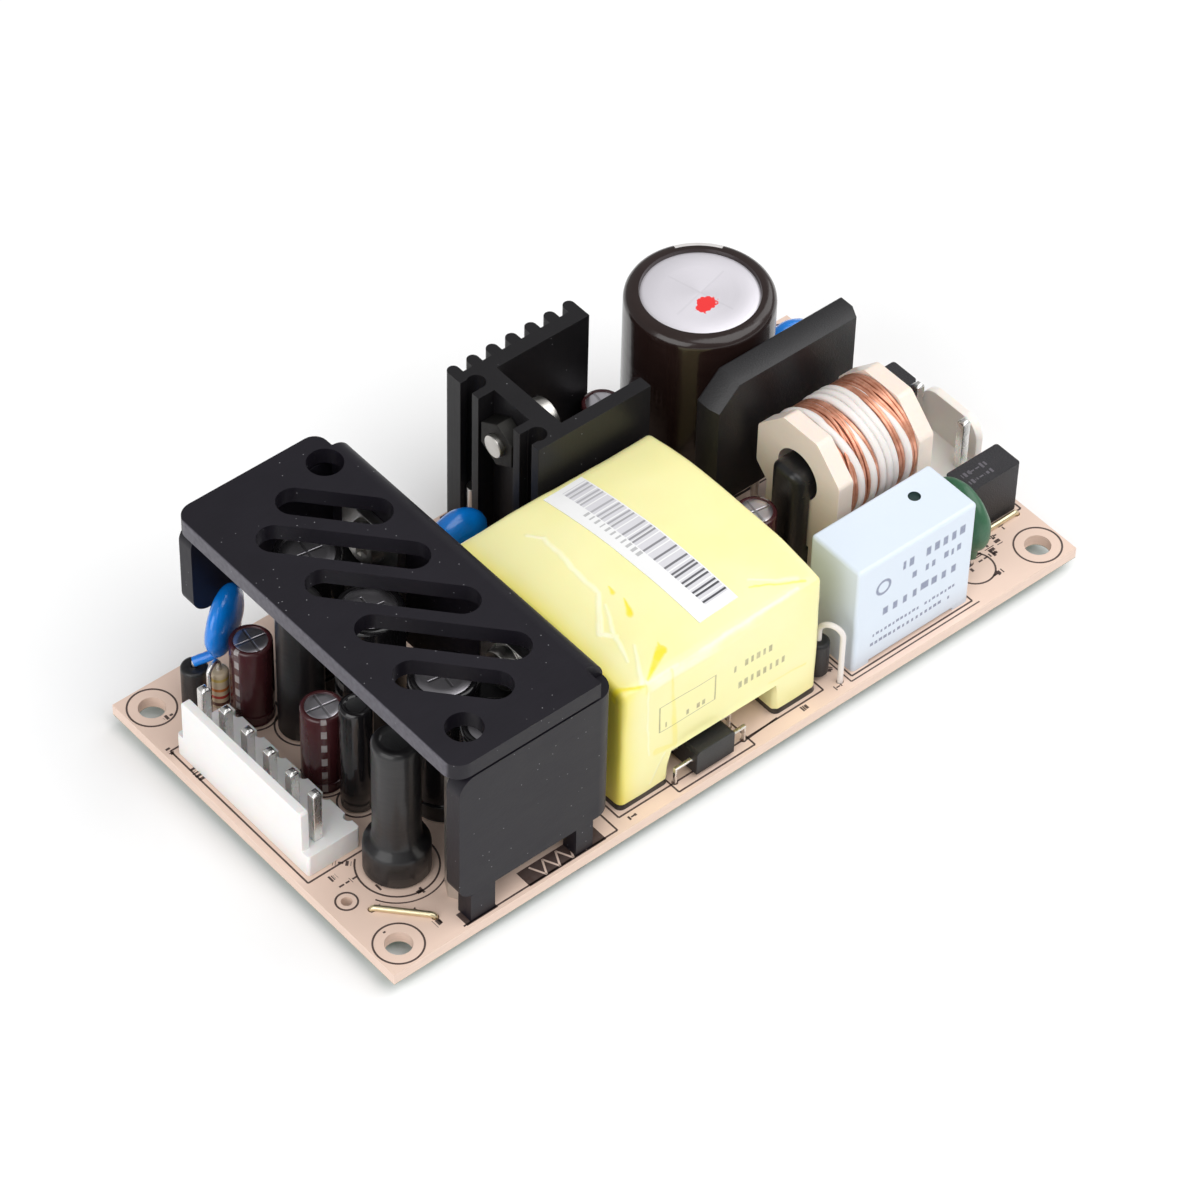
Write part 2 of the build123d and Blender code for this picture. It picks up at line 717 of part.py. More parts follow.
def upright_axial(name, x, y, diameter, length, lift, wire, foot_x, foot_y, loop_top):
    """An axial part stood on end: one lead straight down, the other looped over to its own foot."""
    with BuildPart() as piece:
        with Locations((x, y, top + lift)):
            Cylinder(diameter / 2, length, align=(Align.CENTER, Align.CENTER, Align.MIN))
        fillet(piece.edges().filter_by(GeomType.CIRCLE), axial_rim * diameter)
        round_lead(x, y, top + lift + 2 * fit_clearance, wire)
        span = Vector(foot_x - x, foot_y - y, 0)
        bend = span.length / 2
        crest = max(top + loop_top - bend, top + lift + length)
        ahead = span.normalized()
        along_span = Plane((x, y, crest), x_dir=ahead, z_dir=ahead.cross(Vector(0, 0, 1)))
        with BuildLine(along_span) as loop:
            rise = Line((0, top + lift + length - 2 * fit_clearance - crest), (0, 0))
            over = ThreePointArc(rise @ 1, (bend, bend), (2 * bend, 0))
            Line(over @ 1, (2 * bend, -tail_length - crest))
        with BuildSketch(Plane(loop.line @ 0, z_dir=(0, 0, 1))):
            Circle(wire)
        sweep(path=loop.line)
        leads.append((foot_x, foot_y, 2 * wire, 0))
    keep(piece, name)


upright_axial("output_resistor", resistor_x, resistor_y, axial_diameter, axial_length, axial_lift,
              axial_wire_radius, resistor_x - axial_reach, resistor_y - axial_side, axial_loop_height)

# Transformer: a taped block on two long legs, its pins in the legs, and a label on top
transformer_x, transformer_y = at(transformer_start, transformer_front)
transformer_x_end = transformer_x + transformer_length
transformer_mid_x = transformer_x + transformer_length / 2
transformer_mid_y = transformer_y + transformer_depth / 2
tunnel_start = transformer_x + transformer_leg_1
tunnel_width = transformer_length - transformer_leg_1 - transformer_leg_2
with BuildPart() as transformer:
    block(transformer_x, transformer_y, top, transformer_length, transformer_depth, transformer_height)
    fillet(transformer.edges().filter_by(Axis.Z), transformer_edge_radius)
    fillet(transformer.faces().sort_by(Axis.Z)[-1].edges(), transformer_edge_radius)
    with Locations((tunnel_start, transformer_y, top)):
        Box(tunnel_width, transformer_depth, transformer_leg_height, mode=Mode.SUBTRACT,
            align=(Align.MIN, Align.MIN, Align.MIN))
    for row_x in (transformer_x + transformer_leg_1 / 2, transformer_x_end - transformer_leg_2 / 2):
        for number in range(transformer_pin_count):
            pin_y = transformer_mid_y + (number - (transformer_pin_count - 1) / 2) * transformer_pin_pitch
            round_lead(row_x, pin_y, top, transformer_pin_radius)
keep(transformer, "transformer")

with BuildPart() as transformer_label:
    with BuildSketch(Plane.XY.offset(top + transformer_height)):
        with Locations((transformer_mid_x + label_shift, transformer_mid_y + label_back_shift)):
            Rectangle(label_width, transformer_depth - 2 * label_margin, rotation=label_turn)
    extrude(amount=label_thickness)
keep(transformer_label, "transformer_label")

# Extruded heatsink: front plate, web, comb plate with fins, and a screw channel by each plate
sink_x, sink_y = at(transformer_start + heatsink_start, heatsink_front)
sink_plate_back = sink_y + heatsink_plate
sink_comb = sink_plate_back + heatsink_gap
sink_comb_back = sink_comb + heatsink_comb
web_x = sink_x + heatsink_web_start
web_x_end = web_x + heatsink_web
channel_x = web_x - channel_shift
channel_rows = (sink_plate_back + channel_inset, sink_comb - channel_inset)
fin_pitch = (heatsink_comb_length - fin_width) / (fin_count - 1)
transistor_y = (sink_plate_back + sink_comb) / 2
transistor_screw_z = top + transistor_lift + package_height - package_hole_drop
with BuildPart() as primary_heatsink:
    with BuildSketch(Plane.XY.offset(top)):
        with Locations((sink_x, sink_y)):
            Rectangle(heatsink_plate_length, heatsink_plate, align=(Align.MIN, Align.MIN))
        with Locations((sink_x, sink_comb)):
            Rectangle(heatsink_comb_length, heatsink_comb, align=(Align.MIN, Align.MIN))
        with Locations((web_x, sink_plate_back)):
            Rectangle(heatsink_web, heatsink_gap, align=(Align.MIN, Align.MIN))
        for row, side in zip(channel_rows, (1, -1)):
            rib_y = row + side * (channel_diameter + channel_rib) / 2
            with Locations(((sink_x + web_x) / 2, rib_y)):
                Rectangle(web_x - sink_x, channel_rib)
            with Locations((channel_x + channel_wall / 2, row)):
                Rectangle(2 * channel_wall, channel_diameter + channel_rib)
            with Locations((channel_x, row)):
                Circle(channel_diameter / 2, mode=Mode.SUBTRACT)
            with Locations((sink_x, row)):
                Rectangle(channel_x - sink_x, channel_mouth * channel_diameter, mode=Mode.SUBTRACT,
                          align=(Align.MIN, Align.CENTER))
        for number in range(fin_count):
            with Locations((sink_x + fin_width / 2 + number * fin_pitch, sink_comb_back)):
                Rectangle(fin_width, fin_depth - fin_width / 2, align=(Align.CENTER, Align.MIN))
            with Locations((sink_x + fin_width / 2 + number * fin_pitch,
                            sink_comb_back + fin_depth - fin_width / 2)):
                Circle(fin_width / 2)
    extrude(amount=heatsink_height)
    with BuildSketch(Plane((web_x_end, transistor_y, transistor_screw_z), z_dir=(1, 0, 0))):
        Circle(screw_diameter / 2)
    extrude(amount=-heatsink_web, mode=Mode.SUBTRACT)
keep(primary_heatsink, "primary_heatsink")

package("switching_transistor", Plane((web_x_end, transistor_y, top + transistor_lift), x_dir=(0, 1, 0),
                                      z_dir=(1, 0, 0)))
pan_screws("transistor_screw", screw_diameter, screw_head_diameter,
           package_tab + heatsink_web + nut_height + screw_over_nut,
           [Plane((web_x_end + package_tab, transistor_y, transistor_screw_z), z_dir=(1, 0, 0))])
with BuildPart() as transistor_nut:
    with BuildSketch(Plane((web_x, transistor_y, transistor_screw_z), x_dir=(0, 0, 1), z_dir=(-1, 0, 0))):
        RegularPolygon(nut_across / 2, 6, major_radius=False)
        Circle(screw_diameter / 2, mode=Mode.SUBTRACT)
    extrude(amount=nut_height)
keep(transistor_nut, "transistor_nut")
channel_screw_diameter = channel_diameter - 2 * fit_clearance
pan_screws("channel_screws", channel_screw_diameter, screw_head_diameter, channel_screw_length,
           [Plane((channel_x, row, 0), z_dir=(0, 0, -1)) for row in channel_rows])

# Optocoupler in the mouth of the transformer's tunnel
opto_x = tunnel_start + opto_row_spacing / 2 + opto_lead_width / 2 + 2 * fit_clearance
opto_y = at(0, opto_front)[1] + opto_depth / 2
with BuildPart() as optocoupler:
    with BuildSketch(Plane.XY.offset(top + opto_lift)):
        with Locations((opto_x, opto_y)):
            Rectangle(opto_length, opto_depth)
    extrude(amount=opto_height)
    chamfer(optocoupler.edges().filter_by(Axis.Y).group_by(Axis.Z)[-1], opto_chamfer)
    arm_z = top + opto_lift + opto_height / 2
    for side in (-1, 1):
        for row in (-1, 1):
            lead_x = opto_x + side * opto_row_spacing / 2
            lead_y = opto_y + row * opto_lead_pitch / 2
            flat_lead(lead_x, lead_y, arm_z, opto_lead_thickness, opto_lead_width)
            with Locations(((opto_x + lead_x) / 2, lead_y, arm_z)):
                Box(opto_row_spacing / 2 + opto_lead_thickness, opto_lead_width, opto_lead_thickness,
                    align=(Align.CENTER, Align.CENTER, Align.CENTER))
keep(optocoupler, "optocoupler")

# Upright diode between the transformer and the boxed capacitor
diode_x = transformer_x_end + diode_diameter / 2 + diode_gap
diode_y = transformer_y + diode_setback
upright_axial("upright_diode", diode_x, diode_y, diode_diameter, diode_length, diode_lift,
              diode_wire_radius, diode_x + diode_side, diode_y - diode_reach, diode_loop_height)

# Boxed capacitor
box_x, box_y = at(box_start, box_front)
with BuildPart() as boxed_capacitor:
    block(box_x, box_y, top, box_length, box_depth, box_height)
    fillet(boxed_capacitor.edges().filter_by(Axis.Z), box_edge_radius)
    fillet(boxed_capacitor.faces().sort_by(Axis.Z)[-1].edges(), box_edge_radius)
    with Locations((box_x + box_length / 2, box_y + box_depth / 2, top)):
        Box(box_length - 2 * box_foot_width, box_depth, box_foot_height, mode=Mode.SUBTRACT,
            align=(Align.CENTER, Align.CENTER, Align.MIN))
    with BuildSketch(Plane.XY.offset(top + box_height)):
        with Locations((box_x + box_gate_along * box_length, box_y + box_gate_across * box_depth)):
            Circle(box_gate_diameter / 2)
    extrude(amount=-box_gate_sink, mode=Mode.SUBTRACT)
    for side in (-1, 1):
        round_lead(box_x + (box_length + side * box_lead_pitch) / 2, box_y + box_depth / 2,
                   top + box_foot_height, box_lead_radius)
keep(boxed_capacitor, "boxed_capacitor")

# Common mode choke: closed core, bobbin and two windings side by side round one leg
choke_x = at(choke_start, 0)[0]
choke_y = at(0, choke_middle)[1]
bobbin_x = choke_x + choke_yoke + fit_clearance
winding_x = bobbin_x + choke_flange_thickness
choke_z = top + choke_axis_height
core_low = top + choke_core_lift
core_high = choke_z + choke_core_leg / 2
core_length = bobbin_length + 2 * (choke_yoke + fit_clearance)
core_mid_x = choke_x + core_length / 2
with BuildPart() as choke_core:
    with BuildSketch(Plane.XZ.offset(-choke_y)):
        with Locations((core_mid_x, (core_low + core_high) / 2)):
            RectangleRounded(core_length, core_high - core_low, choke_core_radius)
        with Locations((core_mid_x, (core_low + core_high) / 2)):
            Rectangle(core_length - 2 * choke_yoke, core_high - core_low - 2 * choke_core_leg,
                      mode=Mode.SUBTRACT)
    extrude(amount=choke_core_width / 2, both=True)
    crown = choke_core.faces().sort_by(Axis.Z)[-1].edges().filter_by(Axis.X)
    fillet(crown, choke_core_crown)
    fillet(choke_core.faces().filter_by(Axis.Y).edges().filter_by_position(
        Axis.Z, core_low - fit_clearance, core_high - choke_core_crown - choke_core_radius), choke_core_edge)
keep(choke_core, "choke_core")

tube_inner = ((choke_core_leg / 2) ** 2 + (choke_core_width / 2) ** 2) ** 0.5 + fit_clearance
tube_outer = tube_inner + choke_tube_wall
with BuildPart() as choke_bobbin:
    for start in (bobbin_x, bobbin_x + bobbin_length - choke_flange_thickness):
        with BuildSketch(Plane((start, choke_y, choke_z), x_dir=(0, 1, 0), z_dir=(1, 0, 0))):
            flange = RegularPolygon(choke_flange_diameter / 2, 8, major_radius=False, rotation=22.5)
            fillet(flange.vertices(), choke_corner_radius)
            with Locations((0, -choke_axis_height)):
                Rectangle(choke_foot_width, choke_axis_height, align=(Align.CENTER, Align.MIN))
                Rectangle(choke_core_width + 2 * fit_clearance,
                          choke_core_lift + choke_core_leg + fit_clearance,
                          mode=Mode.SUBTRACT, align=(Align.CENTER, Align.MIN))
        extrude(amount=choke_flange_thickness)
    with BuildSketch(Plane((bobbin_x, choke_y, choke_z), x_dir=(0, 1, 0), z_dir=(1, 0, 0))):
        Circle(tube_outer)
    extrude(amount=bobbin_length)
    with BuildSketch(Plane((bobbin_x, choke_y, choke_z), x_dir=(0, 1, 0), z_dir=(1, 0, 0))):
        Circle(tube_inner)
    extrude(amount=bobbin_length, mode=Mode.SUBTRACT)
    for start in (bobbin_x, bobbin_x + bobbin_length - choke_flange_thickness):
        for side in (-1, 1):
            round_lead(start + choke_flange_thickness / 2, choke_y + side * choke_pin_spread / 2, top,
                       choke_pin_radius)
keep(choke_bobbin, "choke_bobbin")

layer_radius = tube_outer + choke_inner_layers
windings = (
    ("choke_bare_winding", choke_wire, layer_radius + choke_wire_bedding * choke_wire, 0.0),
    ("choke_sleeved_winding", choke_sleeve, layer_radius + choke_sleeve / 2 + fit_clearance,
     winding_pitch / 2),
)
for name, wire, radius, shift in windings:
    with BuildPart() as winding:
        start_x = winding_x + fit_clearance + choke_wire / 2 + shift
        with BuildLine() as coil:
            Helix(winding_pitch, winding_pitch * choke_turns, radius,
                  center=(start_x, choke_y, choke_z), direction=(1, 0, 0))
        with BuildSketch(Plane(coil.line @ 0, z_dir=coil.line % 0)):
            Circle(wire / 2)
        sweep(path=coil.line, is_frenet=True)
        if shift == 0:
            with BuildSketch(Plane((winding_x, choke_y, choke_z), z_dir=(1, 0, 0))):
                Circle(layer_radius)
                Circle(tube_outer, mode=Mode.SUBTRACT)
            extrude(amount=choke_winding_length)
    keep(winding, name)

# Bridge rectifier on edge between the choke and the bulk capacitor
bridge_x, bridge_y = at(bridge_x_start, bridge_front)
bridge_foot = top + bridge_lift
with BuildPart() as bridge_rectifier:
    with BuildSketch(Plane.XZ.offset(-bridge_y)) as outline:
        with Locations((bridge_x, bridge_foot)):
            Rectangle(bridge_length, bridge_height, align=(Align.MIN, Align.MIN))
        chamfer(outline.vertices().group_by(Axis.Y)[-1].sort_by(Axis.X)[0], bridge_chamfer)
    extrude(amount=-bridge_thickness)
    faces = bridge_rectifier.faces().filter_by(Axis.Y).sort_by(Axis.Y)
    chamfer(faces[0].edges(), bridge_bevel_depth, bridge_bevel, reference=faces[0])
    fillet(bridge_rectifier.faces().filter_by(Axis.Y).sort_by(Axis.Y)[-1].edges(), bridge_edge)
    for number in range(bridge_lead_count):
        lead_x = bridge_x + bridge_length / 2 + (number - (bridge_lead_count - 1) / 2) * bridge_lead_pitch
        round_lead(lead_x, bridge_y + bridge_thickness / 2, bridge_foot, bridge_lead_radius)
keep(bridge_rectifier, "bridge_rectifier")

# Bulk capacitor and two small ones
bulk_x, bulk_y = at(bulk_x_middle, bulk_middle)
can("bulk_capacitor", bulk_x, bulk_y, bulk_diameter, bulk_height, bulk_lead_pitch, 0, bulk_lead_radius)
can("supply_capacitor_1", choke_x - small_can / 2 - supply_can_gap, choke_y + supply_can_shift, small_can,
    small_can_height, small_can_pitch, 90, small_lead_radius)
can("supply_capacitor_2", bulk_x - (bulk_diameter + small_can) / 2 - 2 * fit_clearance,
    sink_comb - small_can / 2 - 4 * fit_clearance, small_can, small_can_height, small_can_pitch, 90,
    small_lead_radius)

# Fuses, mains header and thermistor
fuse_x = at(fuse_start, 0)[0]
fuse_y = at(0, fuse_front)[1]
inlet_x = at(board_length - inlet_margin - header_depth, 0)[0]
inlet_y = fuse_y + fuse_depth + fuse_to_header
second_fuse_y = inlet_y + inlet_ways * pin_pitch + header_to_fuse
for number, start_y in enumerate((fuse_y, second_fuse_y), start=1):
    with BuildPart() as fuse:
        block(fuse_x, start_y, top, fuse_length, fuse_depth, fuse_height)
        fillet(fuse.edges().filter_by(Axis.Z), fuse_corner_radius)
        for side in (-1, 1):
            round_lead(fuse_x + (fuse_length + side * fuse_lead_pitch) / 2, start_y + fuse_depth / 2, top,
                       small_lead_radius)
    keep(fuse, f"fuse_{number}")
header("inlet_header", "inlet_pin", inlet_x, inlet_y, inlet_ways, (0, inlet_ways - 1), 1,
       inlet_wall_corner)
disc("thermistor", at((thermistor_start + thermistor_end) / 2, 0)[0],
     at(0, thermistor_front)[1] + thermistor_diameter / 2, thermistor_diameter, thermistor_thickness,
     thermistor_lift, 90)

# Blue safety discs
disc("safety_disc_1", sink_x - disc_diameter / 2 - disc_to_heatsink, transistor_y, disc_diameter,
     disc_thickness, disc_lift, 0)
disc("safety_disc_2", bulk_x + (bulk_diameter + disc_diameter) / 2 + disc_to_bulk, bulk_y, disc_diameter,
     disc_thickness, disc_lift, 0)

# Wire links lying on the board
links = (
    (*at(link_start, link_front), link_length, link_turn),
    (fuse_x + link_setback, fuse_y - 2 * link_radius, fuse_length - 2 * link_setback, 0.0),
)
with BuildPart() as wire_links:
    for x, y, reach, turned in links:
        end = Vector(x, y, 0) + Vector(reach, 0, 0).rotate(Axis.Z, turned)
        lying = top + link_radius
        with BuildLine() as wire:
            FilletPolyline((x, y, -tail_length), (x, y, lying), (end.X, end.Y, lying),
                           (end.X, end.Y, -tail_length), radius=link_bend)
        with BuildSketch(Plane(wire.line @ 0, z_dir=(0, 0, 1))):
            Circle(link_radius)
        sweep(path=wire.line)
        leads.append((x, y, 2 * link_radius, 0))
        leads.append((end.X, end.Y, 2 * link_radius, 0))
keep(wire_links, "wire_links")

# Parts on the underside, under the middle of the transformer
controller_y = transformer_mid_y + controller_shift
with BuildPart() as controller:
    with Locations((transformer_mid_x, controller_y, 0)):
        Box(controller_width, controller_length, controller_height,
            align=(Align.CENTER, Align.CENTER, Align.MAX))
    chamfer(controller.edges().filter_by(Axis.Y).group_by(Axis.Z)[0], controller_chamfer)
    for side in (-1, 1):
        for row in range(controller_rows):
            with Locations((transformer_mid_x + side * controller_width / 2,
                            controller_y + (row - (controller_rows - 1) / 2) * controller_pitch, 0)):
                Box(2 * controller_lead_reach, controller_lead_width, controller_lead_thickness,
                    align=(Align.CENTER, Align.CENTER, Align.MAX))
keep(controller, "controller")
with BuildPart() as chip_parts:
    chip_row = transformer_mid_y - chip_shift
    with Locations(*[(transformer_mid_x + side * chip_side, chip_row + (number - 1) * chip_pitch, 0)
                     for side in (-1, 1) for number in range(chip_count // 2)]):
        Box(chip_length, chip_width, chip_height, align=(Align.CENTER, Align.CENTER, Align.MAX))
keep(chip_parts, "chip_parts")

# Solder joints round every lead under the board
solder_places = {}
for x, y, width, depth in leads:
    solder_places.setdefault((width, depth), []).append((x, y, 0))
with BuildPart() as solder_joints:
    for (width, depth), places in solder_places.items():
        lead_reach = max(width, depth) / 2
        with Locations(*places):
            Cone(lead_reach + solder_tip, lead_reach + solder_spread, solder_height,
                 align=(Align.CENTER, Align.CENTER, Align.MAX))
            if depth:
                Box(width, depth, solder_height, mode=Mode.SUBTRACT,
                    align=(Align.CENTER, Align.CENTER, Align.MAX))
            else:
                Cylinder(width / 2, solder_height, mode=Mode.SUBTRACT,
                         align=(Align.CENTER, Align.CENTER, Align.MAX))
keep(solder_joints, "solder_joints")

# Board, drilled for every lead, the corner screws, the channel screws and the trimmer's adjusting hole
corner_x = half_length - corner_hole_inset
corner_y = half_width - corner_hole_inset
with BuildPart() as circuit_board:
    Box(board_length, board_width, board_thickness, align=(Align.CENTER, Align.CENTER, Align.MIN))
    with Locations(*[(x, y, 0) for x in (-corner_x, corner_x) for y in (-corner_y, corner_y)]):
        Cylinder(corner_hole_diameter / 2, board_thickness, mode=Mode.SUBTRACT,
                 align=(Align.CENTER, Align.CENTER, Align.MIN))
    with Locations((*at(trimmer_hole_inset, trimmer_hole_front), 0)):
        Cylinder(trimmer_hole_diameter / 2, board_thickness, mode=Mode.SUBTRACT,
                 align=(Align.CENTER, Align.CENTER, Align.MIN))
    with Locations(*[(channel_x, row, 0) for row in channel_rows]):
        Cylinder(channel_screw_diameter / 2 + lead_clearance, board_thickness, mode=Mode.SUBTRACT,
                 align=(Align.CENTER, Align.CENTER, Align.MIN))
    with Locations((pillar_x, pillar_y, 0)):
        Cylinder(pillar_screw_diameter / 2 + lead_clearance, board_thickness, mode=Mode.SUBTRACT,
                 align=(Align.CENTER, Align.CENTER, Align.MIN))
    for (width, depth), places in solder_places.items():
        hole = ((width ** 2 + depth ** 2) ** 0.5) / 2 + lead_clearance
        with Locations(*places):
            Cylinder(hole, board_thickness, mode=Mode.SUBTRACT,
                     align=(Align.CENTER, Align.CENTER, Align.MIN))
keep(circuit_board, "circuit_board")
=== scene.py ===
import math
from functools import reduce

import bmesh
import bpy
from mathutils import Matrix, Vector, noise


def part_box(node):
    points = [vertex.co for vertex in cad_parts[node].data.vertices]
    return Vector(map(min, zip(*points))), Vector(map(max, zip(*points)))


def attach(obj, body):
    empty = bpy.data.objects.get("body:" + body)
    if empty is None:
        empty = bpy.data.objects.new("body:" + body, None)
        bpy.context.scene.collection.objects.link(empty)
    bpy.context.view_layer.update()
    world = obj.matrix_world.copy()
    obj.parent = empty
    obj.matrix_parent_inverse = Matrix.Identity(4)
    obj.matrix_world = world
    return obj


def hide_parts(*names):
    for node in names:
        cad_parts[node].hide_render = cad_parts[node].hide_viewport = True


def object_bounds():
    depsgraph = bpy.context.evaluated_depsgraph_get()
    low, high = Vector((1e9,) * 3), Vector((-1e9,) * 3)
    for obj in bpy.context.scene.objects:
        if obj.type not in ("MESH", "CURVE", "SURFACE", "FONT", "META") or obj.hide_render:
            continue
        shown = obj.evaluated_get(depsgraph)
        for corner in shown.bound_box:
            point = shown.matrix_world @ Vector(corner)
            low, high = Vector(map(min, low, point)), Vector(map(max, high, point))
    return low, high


bl_info = {
    "name": "Open frame power supply looks",
    "version": (1, 0, 0),
    "blender": (4, 5, 0),
    "location": "3D View > Sidebar > Power Supply",
    "description": "Builds the shown pieces, finishes and studio of an open frame power supply on its frame",
    "category": "Object",
}

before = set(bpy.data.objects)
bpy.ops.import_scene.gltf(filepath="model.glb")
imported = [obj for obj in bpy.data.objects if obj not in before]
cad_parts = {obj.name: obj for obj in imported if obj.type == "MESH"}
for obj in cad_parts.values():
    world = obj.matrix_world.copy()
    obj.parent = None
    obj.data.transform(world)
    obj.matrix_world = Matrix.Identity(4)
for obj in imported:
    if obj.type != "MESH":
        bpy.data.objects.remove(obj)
cad_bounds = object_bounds()
MM = 0.001
BOARD_TOP = 1.6
TAIL = 1.6
COVER_BEND = 2.5
COVER_SHEET = 2.2
INK_HEIGHT = 0.024
FULL_TURN = math.tau


# Shader maths

class Wire:
    """A node's output that works in a Python expression."""

    def __init__(self, paint, socket):
        self.paint, self.socket = paint, socket

    def sum_with(self, operation, *others):
        return self.paint.node("ShaderNodeMath", {"operation": operation}, *others)

    def __add__(self, other):
        return self.sum_with("ADD", self, other)

    __radd__ = __add__

    def __sub__(self, other):
        return self.sum_with("SUBTRACT", self, other)

    def __rsub__(self, other):
        return self.sum_with("SUBTRACT", other, self)

    def __mul__(self, other):
        return self.sum_with("MULTIPLY", self, other)

    __rmul__ = __mul__

    def __truediv__(self, other):
        return self.sum_with("DIVIDE", self, other)

    def __pow__(self, other):
        return self.sum_with("POWER", self, other)

    def __abs__(self):
        return self.sum_with("ABSOLUTE", self)

    def least(self, other):
        return self.sum_with("MINIMUM", self, other)

    def most(self, other):
        return self.sum_with("MAXIMUM", self, other)

    def floor(self):
        return self.sum_with("FLOOR", self)

    def wave(self):
        return self.sum_with("SINE", self)

    def repeat(self, length):
        return self.sum_with("FLOORED_MODULO", self, length)

    def over(self, edge, soft=0.0):
        """1 where this is over an edge, 0 where it is under, with a soft step between."""
        if not soft:
            return self.sum_with("GREATER_THAN", self, edge)
        return self.paint.node("ShaderNodeMapRange", {"interpolation_type": "SMOOTHSTEP"},
                               self, edge - soft, edge + soft, 0.0, 1.0)

    def under(self, edge, soft=0.0):
        return 1 - self.over(edge, soft)


class Paint:
    """One material, made node by node. Its patterns read the object's coordinates in millimetres."""

    def __init__(self, name):
        self.material = bpy.data.materials.new(name)
        self.material.use_nodes = True
        self.tree = self.material.node_tree
        self.shader = self.tree.nodes["Principled BSDF"]
        place = self.tree.nodes.new("ShaderNodeTexCoord")
        self.place = self.node("ShaderNodeVectorMath", {"operation": "SCALE"},
                               Wire(self, place.outputs["Object"]), Scale=1 / MM)

    def node(self, kind, settings, *values, output=0, **named):
        """A node of a type, with its settings made first and then the values or links of its sockets."""
        node = self.tree.nodes.new(kind)
        for key, value in settings.items():
            setattr(node, key, value)
        open_sockets = [socket for socket in node.inputs if socket.enabled]
        for socket, value in [*zip(open_sockets, values), *((node.inputs[k], v) for k, v in named.items())]:
            if isinstance(value, Wire):
                self.tree.links.new(value.socket, socket)
            else:
                socket.default_value = (*value, 1.0) if socket.type == "RGBA" and len(value) == 3 else value
        outputs = [socket for socket in node.outputs if socket.enabled]
        return Wire(self, node.outputs[output] if isinstance(output, str) else outputs[output])

    def axes(self, centre=(0.0, 0.0, 0.0), turn=0.0):
        """X, Y and Z in millimetres from a centre, turned about Z."""
        place = self.place
        if turn or any(centre):
            place = self.node("ShaderNodeVectorMath", {"operation": "SUBTRACT"}, place, centre)
            place = self.node("ShaderNodeVectorRotate", {"rotation_type": "Z_AXIS"}, place, Angle=-turn)
        return [self.node("ShaderNodeSeparateXYZ", {}, place, output=axis) for axis in "XYZ"]

    def stretched(self, x, y, z):
        return self.node("ShaderNodeVectorMath", {"operation": "MULTIPLY"}, self.place, (x, y, z))

    def noise(self, scale, detail=2.0, rough=0.5, place=None, warp=0.0):
        return self.node("ShaderNodeTexNoise", {}, place or self.place, scale, detail, rough,
                         Distortion=warp)

    def cells(self, scale, feature="F1", place=None, output="Distance"):
        return self.node("ShaderNodeTexVoronoi", {"feature": feature}, place or self.place,
                         Scale=scale, output=output)

    def mix(self, share, low, high):
        return self.node("ShaderNodeMix", {"data_type": "RGBA"}, share, low, high)

    def streak(self, across, along, start, end, wide, thin, soft=0.22):
        """1 on a line between two spots of a plane, with a half width for its start and one for its end."""
        run, rise = end[0] - start[0], end[1] - start[1]
        out, up = across - start[0], along - start[1]
        share = ((out * run + up * rise) / (run * run + rise * rise)).most(0.0).least(1.0)
        away = ((out - share * run) ** 2.0 + (up - share * rise) ** 2.0) ** 0.5
        return (away - share * (thin - wide)).under(wide, soft)

    def luck(self, cell, seed=0.0):
        """A chance from 0 to 1 for each whole number."""
        return self.node("ShaderNodeTexWhiteNoise", {"noise_dimensions": "1D"}, W=cell + seed, output="Value")

    def bump(self, height, depth, strength=1.0):
        """A normal from a height of 0 to 1 that stands for a depth in millimetres."""
        return self.node("ShaderNodeBump", {}, Strength=strength, Distance=depth * MM, Height=height)

    def finish(self, **sockets):
        """Set or link the shader's sockets, named with underscores for spaces."""
        for key, value in sockets.items():
            socket = self.shader.inputs[key.replace("_", " ")]
            if isinstance(value, Wire):
                self.tree.links.new(value.socket, socket)
            else:
                socket.default_value = (*value, 1.0) if socket.type == "RGBA" else value
        return self.material


def shaded(colour, share):
    """A colour made darker or lighter by a share."""
    return tuple(min(1.0, channel * share) for channel in colour[:3])


# Mesh helpers

def corners(node):
    """The lowest and highest corners of a node in millimetres."""
    low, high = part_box(node)
    return low / MM, high / MM


def middle(node):
    low, high = corners(node)
    return (low + high) / 2


def show(name, mesh, materials, nodes=(), flat=35.0, weighted=False):
    """Turn a finished mesh in metres into a piece of the object, in place of the nodes it stands for."""
    data = bpy.data.meshes.new(name)
    mesh.to_mesh(data)
    mesh.free()
    piece = bpy.data.objects.new(name, data)
    bpy.context.scene.collection.objects.link(piece)
    for material in materials:
        data.materials.append(material)
    data.shade_smooth()
    data.set_sharp_from_angle(angle=math.radians(flat))
    if weighted:
        keep = piece.modifiers.new("even shading", "WEIGHTED_NORMAL")
        keep.keep_sharp = True
    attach(piece, "root")
    if nodes:
        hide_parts(*nodes)
    return piece


def coat(node, *materials):
    """Give a node that stays its finish."""
    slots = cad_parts[node].data.materials
    slots.clear()
    for material in materials:
        slots.append(material)


def merged(node):
    """A copy of a node's mesh in millimetres, its doubles merged and its flat faces joined."""
    mesh = bmesh.new()
    mesh.from_mesh(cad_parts[node].data)
    mesh.transform(Matrix.Scale(1 / MM, 4))
    bmesh.ops.remove_doubles(mesh, verts=mesh.verts, dist=0.0005)
    bmesh.ops.dissolve_limit(mesh, angle_limit=math.radians(0.6), verts=mesh.verts, edges=mesh.edges)
    return mesh


